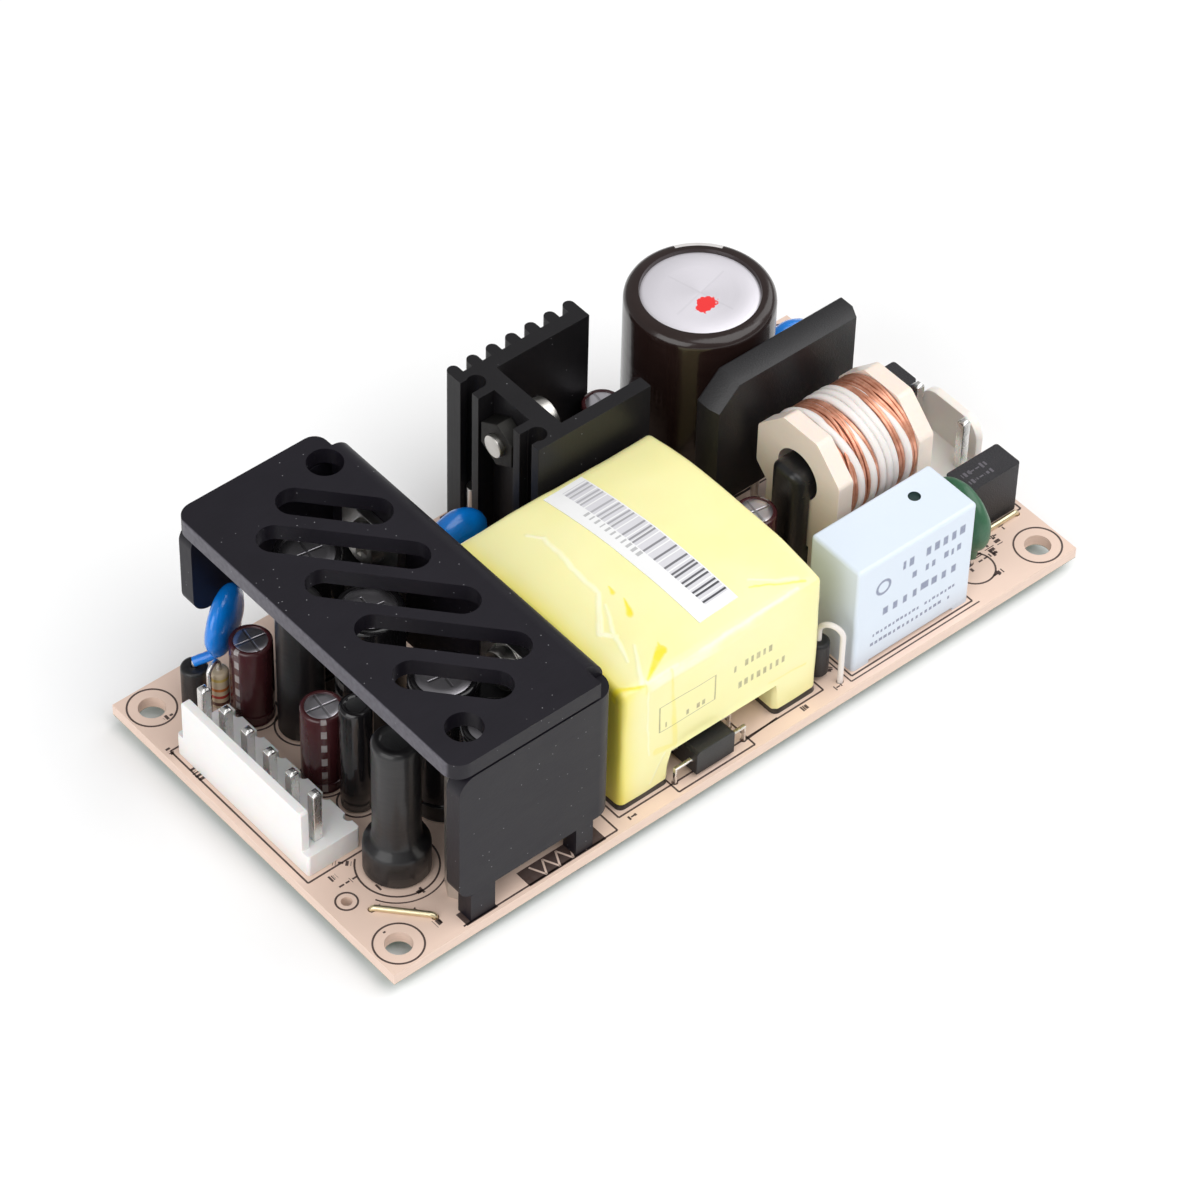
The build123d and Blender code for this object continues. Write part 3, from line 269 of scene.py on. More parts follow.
def soften(mesh, width, least=35.0, segments=2, chosen=None):
    """Bevel the edges of a mesh that are sharper than an angle."""
    sharp = [edge for edge in mesh.edges
             if len(edge.link_faces) == 2 and edge.calc_face_angle(0.0) > math.radians(least)
             and (chosen is None or chosen(edge))]
    bmesh.ops.bevel(mesh, geom=sharp, offset=width, offset_type="OFFSET", segments=segments, profile=0.5,
                    material=-1, affect="EDGES", clamp_overlap=True)


def softened(name, node, materials, width=0.15, least=35.0, chosen=None, pick=None):
    """A node shown with its sharp edges eased. pick gives a face's material number."""
    mesh = merged(node)
    soften(mesh, width, least, chosen=chosen)
    if pick:
        for face in mesh.faces:
            face.material_index = pick(face)
    mesh.transform(Matrix.Scale(MM, 4))
    return show(name, mesh, materials, [node], weighted=True)


def slab(mesh, centre, size, turn=0.0, ease=0.0, matrix=None):
    """Add a box by its middle and size, turned about Z, with eased edges. Returns its vertices."""
    place = matrix or (Matrix.Translation(centre) @ Matrix.Rotation(turn, 4, "Z"))
    made = bmesh.ops.create_cube(mesh, size=1.0, matrix=place @ Matrix.Diagonal((*size, 1.0)))["verts"]
    if ease:
        edges = {edge for vertex in made for edge in vertex.link_edges}
        made = bmesh.ops.bevel(mesh, geom=list(edges), offset=ease, offset_type="OFFSET", segments=2,
                               profile=0.5, material=-1, affect="EDGES")["verts"]
    return made


def turned(mesh, outline, centre=(0.0, 0.0), steps=64, angle=FULL_TURN, start=0.0):
    """Spin an outline of radius and height points about a vertical axis. Returns the new faces."""
    before = set(mesh.faces)
    spots = [mesh.verts.new((centre[0] + radius * math.cos(start), centre[1] + radius * math.sin(start),
                             height)) for radius, height in outline]
    lines = [mesh.edges.new(pair) for pair in zip(spots, spots[1:])]
    whole = abs(angle - FULL_TURN) < 1e-6
    bmesh.ops.spin(mesh, geom=spots + lines, cent=(*centre, 0.0), axis=(0.0, 0.0, 1.0), dvec=(0.0, 0.0, 0.0),
                   angle=angle, steps=steps, use_merge=whole)
    faces = [face for face in mesh.faces if face not in before]
    seen = list({vertex for face in faces for vertex in face.verts})
    bmesh.ops.remove_doubles(mesh, verts=seen, dist=1e-5)
    faces = [face for face in mesh.faces if face not in before]
    bmesh.ops.recalc_face_normals(mesh, faces=faces)
    return faces


def hoop(mesh, centre, radius, width, height, steps=48, angle=FULL_TURN, start=0.0):
    """A flat ring or arc standing on a height, with a little thickness."""
    inner, outer = radius - width / 2, radius + width / 2
    low, high = height
    loop = [(inner, low), (outer, low), (outer, high), (inner, high), (inner, low)]
    return turned(mesh, loop, centre, steps, angle, start)


def tube(mesh, line, radius, sides=10):
    """A round wire along points, by carrying a circle from point to point."""
    points = [Vector(spot) for spot in line]
    rings = []
    across = None
    for number, spot in enumerate(points):
        ahead = points[min(number + 1, len(points) - 1)] - points[max(number - 1, 0)]
        ahead.normalize()
        if across is None:
            across = ahead.orthogonal().normalized()
        across = (across - ahead * across.dot(ahead)).normalized()
        place = Matrix.Translation(spot) @ Matrix((across, ahead.cross(across), ahead)).transposed().to_4x4()
        ring = bmesh.ops.create_circle(mesh, cap_ends=number in (0, len(points) - 1),
                                       segments=sides, radius=radius, matrix=place)["verts"]
        rings.append([edge for edge in {e for v in ring for e in v.link_edges}
                      if edge.verts[0] in ring and edge.verts[1] in ring])
    faces = []
    for low, high in zip(rings, rings[1:]):
        faces += bmesh.ops.bridge_loops(mesh, edges=low + high)["faces"]
    return faces


def chance(*numbers):
    """A steady number from 0 to 1 for a set of numbers."""
    return noise.cell(Vector([*(7.31 * number + 0.5 for number in numbers), 0.5, 0.5][:3]))


# Finishes

def specks(p, scale, size, share):
    """1 in a sparse scatter of small dots, 0 elsewhere."""
    luck = p.node("ShaderNodeSeparateColor", {}, p.cells(scale, output="Color"))
    return p.cells(scale).under(size, size * 0.4) * luck.over(1 - share)


def laminate(colour, copper, mask):
    """Pale coated board, with tracks under a mask on its lower side."""
    p = Paint("board laminate")
    z = p.axes()[2]
    clouds = p.noise(0.11, 4.0)
    fibres = p.noise(1.0, 2.0, place=p.stretched(0.5, 9.0, 1.0)) * 0.5 + p.noise(
        1.0, 2.0, place=p.stretched(9.0, 0.5, 1.0)) * 0.5
    face = p.mix(clouds * 0.8 + fibres * 0.25, colour, shaded(colour, 0.90))
    layers = p.noise(1.0, 3.0, place=p.stretched(0.6, 0.6, 9.0))
    edge = p.mix(layers, shaded(colour, 0.80), shaded(colour, 1.02))
    side = z.over(0.06) * z.under(BOARD_TOP - 0.06)
    pours = p.cells(0.15, "DISTANCE_TO_EDGE", p.stretched(1.0, 1.0, 0.0))
    track = pours.over(0.028, 0.008)
    under = p.mix(track, mask, p.mix(p.noise(0.5), copper, shaded(copper, 0.8)))
    look = p.mix(z.under(0.05), p.mix(side, face, edge), under)
    height = z.under(0.05) * track * 0.8 + fibres * 0.15 + p.noise(2.5) * 0.1
    return p.finish(Base_Color=look, Roughness=0.34 + clouds * 0.14 + fibres * 0.08,
                    Normal=p.bump(height, 0.03), Coat_Weight=0.25, Coat_Roughness=0.25)


def print_ink(name, colour):
    """Screened ink, a little uneven."""
    p = Paint(name)
    wear = p.noise(1.7, 3.0)
    faded = tuple(0.75 * channel + 0.06 for channel in colour)
    return p.finish(Base_Color=p.mix(wear, colour, faded), Roughness=0.5 + wear * 0.2,
                    Normal=p.bump(p.noise(6.0), 0.004))


def black_metal(name, colour, lines, dust, scuffed_and_highlit_edge=None):
    """Black anodised metal: fine drawn lines, a satin face and a little dust, with a lighter band along a
    given edge that is partly wear and partly painted highlight.
    """
    p = Paint(name)
    drawn = p.noise(1.0, 3.0, place=p.stretched(*lines))
    cloud = p.noise(0.16, 3.0)
    fluff = specks(p, 0.9, 0.055, dust) + specks(p, 0.31, 0.022, dust)
    tone = p.mix(cloud * 0.7 + drawn * 0.3, colour, shaded(colour, 1.8))
    if scuffed_and_highlit_edge:
        x, _, z = p.axes()
        # Lighter band along the given edge: partly rubbed wear, partly painted highlight
        scuff_and_highlight = x.under(scuffed_and_highlit_edge[0] + 0.12, 0.1) * z.over(scuffed_and_highlit_edge[1], 0.1) * (0.35 + p.noise(1.6, 4.0) * 0.9)
        tone = p.mix(scuff_and_highlight.least(1.0), tone, (0.12, 0.115, 0.135))
    return p.finish(Base_Color=p.mix(fluff.least(1.0) * 0.6, tone, (0.4, 0.4, 0.42)),
                    Roughness=(0.36 + cloud * 0.12 + drawn * 0.08 + fluff * 0.3).least(1.0),
                    Normal=p.bump(drawn * 0.7 + p.noise(3.2, 4.0) * 0.5, 0.016), Specular_IOR_Level=0.27)


def bright_metal(name, colour, rough, lines=(1.0, 1.0, 6.0), tarnish=0.35):
    """Bare or plated metal with drawn lines and dull patches."""
    p = Paint(name)
    drawn = p.noise(1.6, 3.0, place=p.stretched(*lines))
    patch = p.noise(0.7, 4.0)
    return p.finish(Base_Color=p.mix(patch * tarnish, colour, shaded(colour, 0.55)), Metallic=1.0,
                    Roughness=rough + drawn * 0.12 + patch * 0.12, Normal=p.bump(drawn, 0.012))


def moulded(name, colour, rough=0.38, cloud=0.12, grain=0.02, coat=0.0, clear=0.0):
    """Moulded plastic: faint clouds, flow lines and a fine spark-eroded grain."""
    p = Paint(name)
    soft = p.noise(0.25, 3.0)
    flow = p.noise(1.0, 2.0, place=p.stretched(0.25, 0.25, 1.6), warp=0.6)
    fine = p.noise(5.5, 3.0)
    tone = p.mix(soft * 0.7 + flow * 0.3, shaded(colour, 1 + cloud), shaded(colour, 1 - cloud))
    finish = dict(Base_Color=tone, Roughness=rough + fine * 0.12 + soft * 0.08, Normal=p.bump(fine, grain),
                  Coat_Weight=coat, Coat_Roughness=0.12)
    if clear:
        finish.update(Subsurface_Weight=clear, Subsurface_Scale=0.6 * MM)
    return p.finish(**finish)


def shrunk(name, colour, gleam=0.16, folds=1.0):
    """Shrunk sleeve: glossy, drawn a little in rings and lines."""
    p = Paint(name)
    rings = p.noise(0.9, 3.0, place=p.stretched(0.35, 0.35, 1.0))
    drawn = p.noise(1.4, 2.0, place=p.stretched(1.0, 1.0, 0.12))
    pattern = rings * 0.6 + drawn * 0.4
    tone = p.mix(pattern, colour, tuple(1.5 * channel + 0.004 for channel in colour))
    return p.finish(Base_Color=tone, Roughness=gleam + rings * 0.12, Normal=p.bump(pattern, 0.05 * folds),
                    Coat_Weight=0.25, Coat_Roughness=0.08, Specular_IOR_Level=0.4)


def can_disc(name, colour, centre, sweep, marks, reach_out, depth, spot=None):
    """Bare aluminium top of a can, brushed in rings, with a painted two-lobed highlight, and scored by a vent
    with painted shade in its lines.
    """
    p = Paint(name)
    x, y, _ = p.axes((*centre, 0.0))
    reach = (x * x + y * y) ** 0.5
    angle = p.node("ShaderNodeMath", {"operation": "ARCTAN2"}, y, x)
    rings = p.noise(1.0, 3.0, place=p.node("ShaderNodeCombineXYZ", {}, reach * 9.0, angle * 0.4, 0.0))
    # Painted highlight: two bright lobes round the disc, as on a brushed top catching the light
    fan_highlight = (angle * 2.0 + sweep).wave() * 0.5 + 0.5
    line = abs((angle * (marks / FULL_TURN) + sweep).repeat(1.0) - 0.5) * reach * (FULL_TURN / marks)
    score = line.under(0.13, 0.05) * reach.under(reach_out, 0.1) * depth
    base = p.mix(fan_highlight * 0.6 + rings * 0.25, shaded(colour, 0.84), colour)
    # Painted shade in the scored vent lines
    look = p.mix(score * 0.55, base, shaded(colour, 0.35))
    metal, gloss = 1.0, 0.24
    if spot:
        sx, sy, size, ink = spot
        away = ((x - sx) ** 2.0 + ((y - sy) * 1.3) ** 2.0) ** 0.5 + (p.noise(0.9) - 0.5) * 1.8
        mark = away.under(size, 0.06)
        look = p.mix(mark, look, ink)
        metal, gloss = (1 - mark) * 0.5, 0.34
    return p.finish(Base_Color=look, Metallic=metal, Roughness=gloss + rings * 0.14,
                    Normal=p.bump(1 - score * 0.9 + rings * 0.03, 0.04))


def dashed_sleeve(name, colour, ink):
    """A sleeve's stripe with plain dashes down it."""
    p = Paint(name)
    z = p.axes()[2]
    crinkle = p.noise(0.8, 3.0)
    dash = (z / 2.2 + crinkle * 0.16).repeat(1.0).under(0.5, 0.05)
    look = p.mix(dash * (0.15 + crinkle * 0.7), colour, ink)
    return p.finish(Base_Color=look, Roughness=0.16 + crinkle * 0.1, Normal=p.bump(crinkle, 0.06),
                    Coat_Weight=0.5, Coat_Roughness=0.08)


def dipped(name, colour, deep, gleam=0.2, lumps=0.06):
    """Dipped epoxy with low lumps, its colour deeper on the lumps."""
    p = Paint(name)
    lump = p.noise(0.45, 3.0)
    fine = p.noise(3.5, 2.0)
    return p.finish(Base_Color=p.mix(lump * 0.8 + fine * 0.2, colour, deep),
                    Roughness=gleam + lump * 0.12 + fine * 0.06,
                    Normal=p.bump(lump * 0.7 + fine * 0.3, lumps), Coat_Weight=0.3, Coat_Roughness=0.15)


FOLDS = (
    # Plane, start, end, half width at the start and at the end, whether a pale painted highlight (else a rich
    # fold, partly painted shade)
    ("top", (-9.5, 2.3), (-8.6, 0.6), 0.25, 0.25, True),
    ("top", (-8.6, 0.6), (-9.3, -5.3), 0.25, 0.35, True),
    ("top", (-9.3, -5.3), (-9.5, -9.9), 0.35, 0.25, True),
    ("top", (-9.5, -9.9), (-13.2, -14.6), 0.22, 0.40, True),
    ("top", (-13.2, -14.6), (-12.0, -15.6), 0.30, 0.45, True),
    ("top", (-12.0, -15.6), (-13.3, -19.3), 0.30, 0.12, True),
    ("top", (-12.0, -15.6), (-9.9, -11.6), 0.25, 0.10, True),
    ("top", (-11.2, -18.0), (-13.9, -22.6), 0.12, 0.30, True),
    ("top", (-8.2, -10.8), (-8.0, -9.9), 0.28, 0.05, False),
    ("top", (-8.6, -14.2), (-7.7, -12.2), 0.40, 0.05, False),
    ("top", (-9.0, -20.0), (-12.9, -22.3), 0.62, 0.10, False),
    ("top", (-8.7, -19.1), (-9.1, -20.2), 0.06, 0.55, False),
    ("top", (-17.0, -21.4), (-13.6, -22.9), 0.30, 0.16, False),
    ("top", (-13.2, -22.6), (-8.9, -22.9), 0.30, 0.45, True),
    ("top", (-8.9, -22.9), (9.0, -22.2), 0.30, 0.20, True),
    ("top", (4.5, -19.2), (10.4, -21.9), 0.04, 0.10, False),
    ("top", (5.0, -18.4), (9.8, -21.2), 0.10, 0.20, True),
    ("front", (-9.8, 18.2), (-9.1, 5.9), 0.14, 0.42, False),
    ("front", (-11.8, 6.5), (-9.2, 5.9), 0.55, 0.30, False),
    ("front", (-10.6, 5.4), (-12.6, 1.8), 0.10, 0.10, True),
    ("front", (4.9, 6.2), (10.3, 5.6), 0.08, 0.16, False),
    ("front", (-13.3, 17.0), (-12.9, 6.6), 0.10, 0.06, True),
)
TAPE_ROWS = (
    # Start, end and level on the front, height and pitch of the ticks
    (-1.0, 5.2, 12.0, 0.62, 0.86), (-2.0, 7.0, 8.9, 0.62, 0.90), (-10.6, -4.4, 10.0, 0.48, 0.78),
)


def yellow_film(colour, rich, pale, ink, low, high):
    """Polyester tape with rows of plain ticks: paler where it lies loose, partly painted glare; painted
    highlights along its pale folds; rich where it folds, partly painted shade; painted shade along its -X
    side.
    """
    p = Paint("yellow tape")
    x, y, z = p.axes()
    bend = p.noise(0.35, 2.0) - 0.5
    bent = {"top": (x + bend * 0.9, y + bend * 0.7), "front": (x + bend * 0.5, z + bend * 0.3)}
    faces = {"top": z.over(high.z - 1.7, 0.3),
             "front": y.under(low.y + 0.7, 0.3) * z.under(high.z - 0.4, 0.2)}
    found = {True: [], False: []}
    for plane, start, end, wide, thin, loose in FOLDS:
        if plane == "front":
            start, end = ((spot[0], spot[1] + BOARD_TOP) for spot in (start, end))
        found[loose].append(p.streak(*bent[plane], start, end, wide, thin) * faces[plane])
    light, deep = reduce(Wire.most, found[True]), reduce(Wire.most, found[False])
    sag = p.noise(0.085, 2.0, warp=0.4)
    # Painted shade: the -X side turns rich towards the cover, partly the tape's deeper colour
    side = x.under(low.x + 1.4, 1.9)
    # Paler patches where the tape lies loose: partly the film's own paler tone, partly painted glare
    look = p.mix(sag.over(0.5, 0.25) * 0.6, colour, pale)
    look = p.mix(side * 0.75, look, rich)
    # Painted shade: a darker amber band along the -X edge
    look = p.mix(x.under(low.x + 0.45, 0.4) * 0.5, look, shaded(rich, 0.72))
    patchiness = 0.35 + p.noise(0.55, 3.0) * 0.8
    # Painted highlights along the pale fold lines
    look = p.mix((light * patchiness).least(1.0) * 0.7, look, tuple(min(1.0, 0.3 + channel) for channel in pale))
    # Rich folds: doubled tape, partly painted shade on the folded facets
    look = p.mix((deep * patchiness * (1.3 - faces["front"] * 0.8)).least(1.0), look, rich)
    # Rows of ticks and a plain frame on the front
    marks = 0.0
    for start, end, level, tall, pitch in TAPE_ROWS:
        chance_here = p.luck((x / pitch).floor(), level)
        row = abs((x / pitch).repeat(1.0) - 0.5).under(0.12 + chance_here * 0.2, 0.05) * chance_here.over(0.2)
        row = row * abs(z - BOARD_TOP - level).under(tall * 0.8, 0.1) * x.over(start) * x.under(end)
        marks = marks + row
    from_middle = (abs(x + 7.4) / 4.1).most(abs(z - BOARD_TOP - 11.2) / 2.0)
    marks = (marks + from_middle.under(1.0, 0.01) * from_middle.over(0.95, 0.01)).least(1.0)
    look = p.mix(marks * faces["front"] * (0.35 + p.noise(1.2) * 0.4), look, ink)
    # Black bobbin under the legs
    foot = z.under(BOARD_TOP + 0.8, 0.03)
    look = p.mix(foot, look, (0.012, 0.012, 0.012))
    height = sag * 0.5 + light * 0.35 + (1 - deep) * 0.12 + p.noise(0.9, 2.0) * 0.05
    return p.finish(Base_Color=look, Roughness=0.24 + sag * 0.14 + deep * 0.1, Normal=p.bump(height, 0.14),
                    Coat_Weight=0.30, Coat_Roughness=0.18, Subsurface_Weight=0.10, Subsurface_Scale=0.5 * MM)


def barred_paper(colour, ink, centre, turn, length, width):
    """White label: a band of plain bars along one side and a row of small ticks beside it."""
    p = Paint("printed label")
    x, y, _ = p.axes(centre, turn)
    band = x.over(-width * 0.13, 0.03) * x.under(width * 0.47, 0.03)
    band = band * y.over(-length * 0.445, 0.03) * y.under(length * 0.47, 0.03)
    place = y / 1.72
    cell, part = place.floor(), place.repeat(1.0)
    pair = p.luck(cell)
    lines = abs(part - 0.22 - pair * 0.06).under(0.085, 0.025) + abs(part - 0.50 - pair * 0.16).under(
        0.08, 0.025) * pair.over(0.2)
    gap = abs(part - 0.86).under(0.05, 0.02) + abs(part - 0.36).under(0.03, 0.02) * pair.over(0.5)
    fade = 1 - y.over(-length * 0.05, length * 0.45) * 0.62
    tick = abs((y / 0.86).repeat(1.0) - 0.5).under(0.10 + p.luck((y / 0.86).floor(), 31.7) * 0.22, 0.05)
    ticks = tick * abs(x + width * 0.225).under(0.42, 0.06) * y.over(-length * 0.06) * y.under(length * 0.31)
    fibres = p.noise(2.4, 4.0)
    look = p.mix(fibres * 0.3, colour, shaded(colour, 0.93))
    look = p.mix(band * (1 - gap.least(1.0)) * 0.42, look, (0.40, 0.38, 0.46))
    look = p.mix((band * lines.least(1.0) * fade + ticks * 0.45).least(1.0), look, ink)
    return p.finish(Base_Color=look, Roughness=0.42 + fibres * 0.15, Normal=p.bump(fibres, 0.015))


def fine_ferrite(name, colour, rough=0.45):
    """Pressed and fired ferrite: fine grain with small bright pits."""
    p = Paint(name)
    grain = p.noise(3.0, 5.0, 0.65)
    pits = specks(p, 1.3, 0.12, 0.25)
    return p.finish(Base_Color=p.mix(grain, shaded(colour, 0.7), shaded(colour, 1.6)),
                    Roughness=rough + grain * 0.2 - pits * 0.2, Normal=p.bump(grain - pits * 0.5, 0.03))


def enamelled(name, colour, dark, along):
    """Enamelled wire: copper under clear enamel, darker in patches."""
    p = Paint(name)
    patch = p.noise(0.8, 3.0, place=p.stretched(*along))
    return p.finish(Base_Color=p.mix(patch.over(0.5, 0.25), colour, dark), Metallic=0.7,
                    Roughness=0.26 + patch * 0.15, Coat_Weight=0.5, Coat_Roughness=0.12,
                    Normal=p.bump(p.noise(3.0), 0.01))


def banded(colour, bands, low, high):
    """A coated resistor with coloured bands round it."""
    p = Paint("banded coat")
    z = p.axes()[2]
    look = p.mix(p.noise(1.2), colour, shaded(colour, 0.88))
    for share, width, ink in bands:
        look = p.mix(abs(z - (low + (high - low) * share)).under(width, 0.05), look, ink)
    return p.finish(Base_Color=look, Roughness=0.25 + p.noise(2.0) * 0.1, Normal=p.bump(p.noise(1.5), 0.03),
                    Coat_Weight=0.4, Coat_Roughness=0.1)


CASE_ROWS = (
    # Start and end as shares of the length, level and half height as shares of the height, pitch of the marks
    (0.38, 0.93, 0.81, 0.048, 1.30), (0.37, 0.90, 0.65, 0.036, 0.98), (0.16, 0.88, 0.46, 0.042, 1.50),
    (0.14, 0.86, 0.265, 0.016, 0.62), (0.14, 0.84, 0.175, 0.018, 0.70),
)


def boxed_plastic(colour, ink, low, high):
    """Pale moulded case with rows of plain marks on the front."""
    p = Paint("pale moulded case")
    x, y, z = p.axes()
    cloud = p.noise(0.2, 3.0)
    along = (x - low.x) / (high.x - low.x)
    up = (z - BOARD_TOP) / (high.z - BOARD_TOP)
    look = p.mix(cloud, colour, shaded(colour, 0.97))
    marks = 0.0
    for start, end, level, half, pitch in CASE_ROWS:
        place = x / pitch
        lucky = p.luck(place.floor(), level * 60.0)
        wide = abs(place.repeat(1.0) - 0.5).under(0.16 + lucky * 0.24, 0.06)
        tall = abs(up - level - (lucky - 0.5) * half * 0.5).under(half * 0.85, half * 0.2)
        marks = marks + wide * tall * along.over(start) * along.under(end) * lucky.over(0.12)
    ring = (((along - 0.22) * 1.15) ** 2.0 + (up - 0.72) ** 2.0) ** 0.5
    marks = (marks + abs(ring - 0.062).under(0.012, 0.006)).least(1.0)
    look = p.mix(marks * y.under(low.y + 0.06) * (0.62 + p.noise(3.0) * 0.3), look, ink)
    return p.finish(Base_Color=look, Roughness=0.3 + cloud * 0.12, Normal=p.bump(p.noise(4.0, 3.0), 0.015),
                    Coat_Weight=0.2, Coat_Roughness=0.2)


# Settings

def colour_field(name, description, default):
    return bpy.props.FloatVectorProperty(name=name, description=description, subtype="COLOR", size=3, min=0.0,
                                         max=1.0, default=default)


def length_field(name, description, default):
    """A length kept in metres and shown with its unit."""
    return bpy.props.FloatProperty(name=name, description=description, default=default * MM, min=0.0,
                                   subtype="DISTANCE", unit="LENGTH", precision=5)


class SupplyFinishes(bpy.types.PropertyGroup):
    """Colours of the pieces."""
    laminate: colour_field("Board", "Coated face of the board", (0.88, 0.665, 0.55))
    track: colour_field("Tracks", "Masked tracks under the board", (0.06, 0.155, 0.075))
    mask: colour_field("Mask", "Masked gaps under the board", (0.115, 0.205, 0.095))
    outlines: colour_field("Outlines", "Ink of the board's outlines", (0.06, 0.026, 0.018))
    sheet_black: colour_field("Folded heatsink", "Anodised sheet", (0.0060, 0.0050, 0.0082))
    sink_black: colour_field("Extruded heatsink", "Anodised extrusion", (0.0065, 0.0060, 0.0070))
    header_white: colour_field("White header", "Output header's nylon", (0.88, 0.87, 0.86))
    # Lighter than the nylon's own cream: painted light on the header's shaded face
    header_cream: colour_field("Cream header", "Mains header's nylon", (0.96, 0.90, 0.83))
    tin: colour_field("Tinned metal", "Pins and leads", (0.86, 0.85, 0.83))
    steel: colour_field("Plated steel", "Screws, nut and pillar", (0.72, 0.70, 0.66))
    tape: colour_field("Tape", "Tape's face", (0.92, 0.865, 0.4))
    tape_fold: colour_field("Tape folds", "Tape where it is doubled", (0.9, 0.76, 0.03))
    # Painted glare on the tape, also its paler colour where it lies loose
    tape_glare: colour_field("Tape glare", "Tape where it lies loose", (0.94, 0.9, 0.5))
    label: colour_field("Label", "Label's paper", (0.87, 0.87, 0.87))
    grey_ink: colour_field("Label ink", "Label's bars", (0.045, 0.045, 0.055))
    # Partly the sleeve's own dark brown, partly painted shade: the large can stands in shadow
    sleeve_brown: colour_field("Brown sleeve", "Large capacitor's sleeve", (0.013, 0.006, 0.005))
    sleeve_maroon: colour_field("Maroon sleeve", "Small capacitors' sleeves", (0.045, 0.010, 0.012))
    sleeve_black: colour_field("Black sleeve", "Rods and output capacitors", (0.0045, 0.004, 0.0048))
    sleeve_stripe: colour_field("Stripe", "Stripe down a sleeve", (0.55, 0.53, 0.52))
    aluminium: colour_field("Can", "Top of a can", (0.92, 0.89, 0.95))
    red_dot: colour_field("Red mark", "Dab of sealing lacquer", (0.80, 0.03, 0.03))
    case_blue: colour_field("Pale case", "Boxed capacitor's case", (0.71, 0.79, 0.89))
    case_ink: colour_field("Case ink", "Marks on the case", (0.1, 0.12, 0.24))
    ferrite: colour_field("Ferrite", "Core and bead", (0.009, 0.009, 0.01))
    bobbin: colour_field("Bobbin", "Choke's flanges", (0.86, 0.75, 0.66))
    copper: colour_field("Copper", "Bare winding", (0.88, 0.44, 0.30))
    copper_dark: colour_field("Dark copper", "Shaded winding", (0.60, 0.25, 0.15))
    white_wire: colour_field("White sleeving", "Insulated winding and loops", (0.80, 0.75, 0.72))
    moulding_black: colour_field("Black moulding", "Packages, bridge and fuses", (0.0085, 0.008, 0.0095))
    green_dip: colour_field("Green coating", "Thermistor", (0.035, 0.155, 0.07))
    blue_dip: colour_field("Blue coating", "Disc capacitors", (0.003, 0.27, 0.95))
    resistor: colour_field("Resistor coat", "Upright resistor", (0.62, 0.50, 0.34))


class SupplySizes(bpy.types.PropertyGroup):
    """Sizes that the frame doesn't give."""
    edge: length_field("Eased edge", "Bevel on folded and moulded edges", 0.16)
    ink: length_field("Ink", "Width of the board's outlines", 0.22)
    fine_wire: length_field("Fine wire", "Diameter of the bare winding's wire", 0.46)
    sleeved_wire: length_field("Sleeved wire", "Diameter of the sleeved winding", 1.15)


def finishes():
    return bpy.context.scene.supply_finishes


def sizes():
    return bpy.context.scene.supply_sizes


# Shared shapes

def post(mesh, x, y, radius, low, high, sides=14, tip=None):
    """A round lead or pin along Z."""
    middle_height = (low + high) / 2
    return bmesh.ops.create_cone(mesh, cap_ends=True, segments=sides, radius1=radius,
                                 radius2=radius if tip is None else tip, depth=high - low,
                                 matrix=Matrix.Translation((x, y, middle_height)))["verts"]


def spot_of(face):
    """The middle of a face."""
    return face.calc_center_median()


def paint_faces(faces, number):
    for face in faces:
        face.material_index = number


def faces_of(vertices):
    return list({face for vertex in vertices for face in vertex.link_faces})


def metres(mesh):
    mesh.transform(Matrix.Scale(MM, 4))
    return mesh


# Board

def greeked(mesh, x, y, turn, count, seed, height=1.0, level=BOARD_TOP):
    """A row of plain ticks and blocks that stands for small print."""
    way = Vector((math.cos(turn), math.sin(turn), 0.0))
    step = 0.0
    for number in range(count):
        width = 0.16 + 0.5 * chance(seed, number)
        tall = height * (0.65 + 0.35 * chance(seed + 3.3, number))
        spot = Vector((x, y, level + INK_HEIGHT / 2)) + way * (step + width / 2)
        slab(mesh, spot, (width, tall if width < 0.45 else height * 0.22, INK_HEIGHT), turn)
        step += width + 0.24


def outline_box(mesh, low_x, low_y, high_x, high_y, line, sides="WESN"):
    """A printed rectangle, or some of its sides."""
    z = BOARD_TOP + INK_HEIGHT / 2
    mid_x, mid_y = (low_x + high_x) / 2, (low_y + high_y) / 2
    for side, (x, y, length, width) in {
            "W": (low_x, mid_y, line, high_y - low_y), "E": (high_x, mid_y, line, high_y - low_y),
            "S": (mid_x, low_y, high_x - low_x, line), "N": (mid_x, high_y, high_x - low_x, line)}.items():
        if side in sides:
            slab(mesh, (x, y, z), (length, width, INK_HEIGHT))


HOLE_INSET = 3.175
PATCH = (-26.0, -23.8, BOARD_TOP + INK_HEIGHT / 2)
SLABS = (
    # Middle and size of the dark slabs on the board under the folded heatsink
    ((-38.15, -24.0, PATCH[2]), (4.3, 2.0, INK_HEIGHT)),
    (PATCH, (10.9, 2.4, INK_HEIGHT)),
)
RINGS = (
    # Middle, radius, share of the line's width, steps, angle and start
    ((-48.3, -14.0), 1.25, 1.0, 32, FULL_TURN, 0.0),
    ((-40.7, -13.3), 4.7, 1.0, 40, 4.3, 2.3),
    ((-40.7, -13.3), 5.6, 0.8, 30, 1.8, 3.6),
    ((39.3, -20.3), 2.5, 1.0, 36, FULL_TURN, 0.0),
)
RINGED = ("bulk_capacitor", "filter_capacitor_1", "filter_capacitor_2", "tall_choke", "slim_choke",
          "supply_capacitor_1", "supply_capacitor_2")
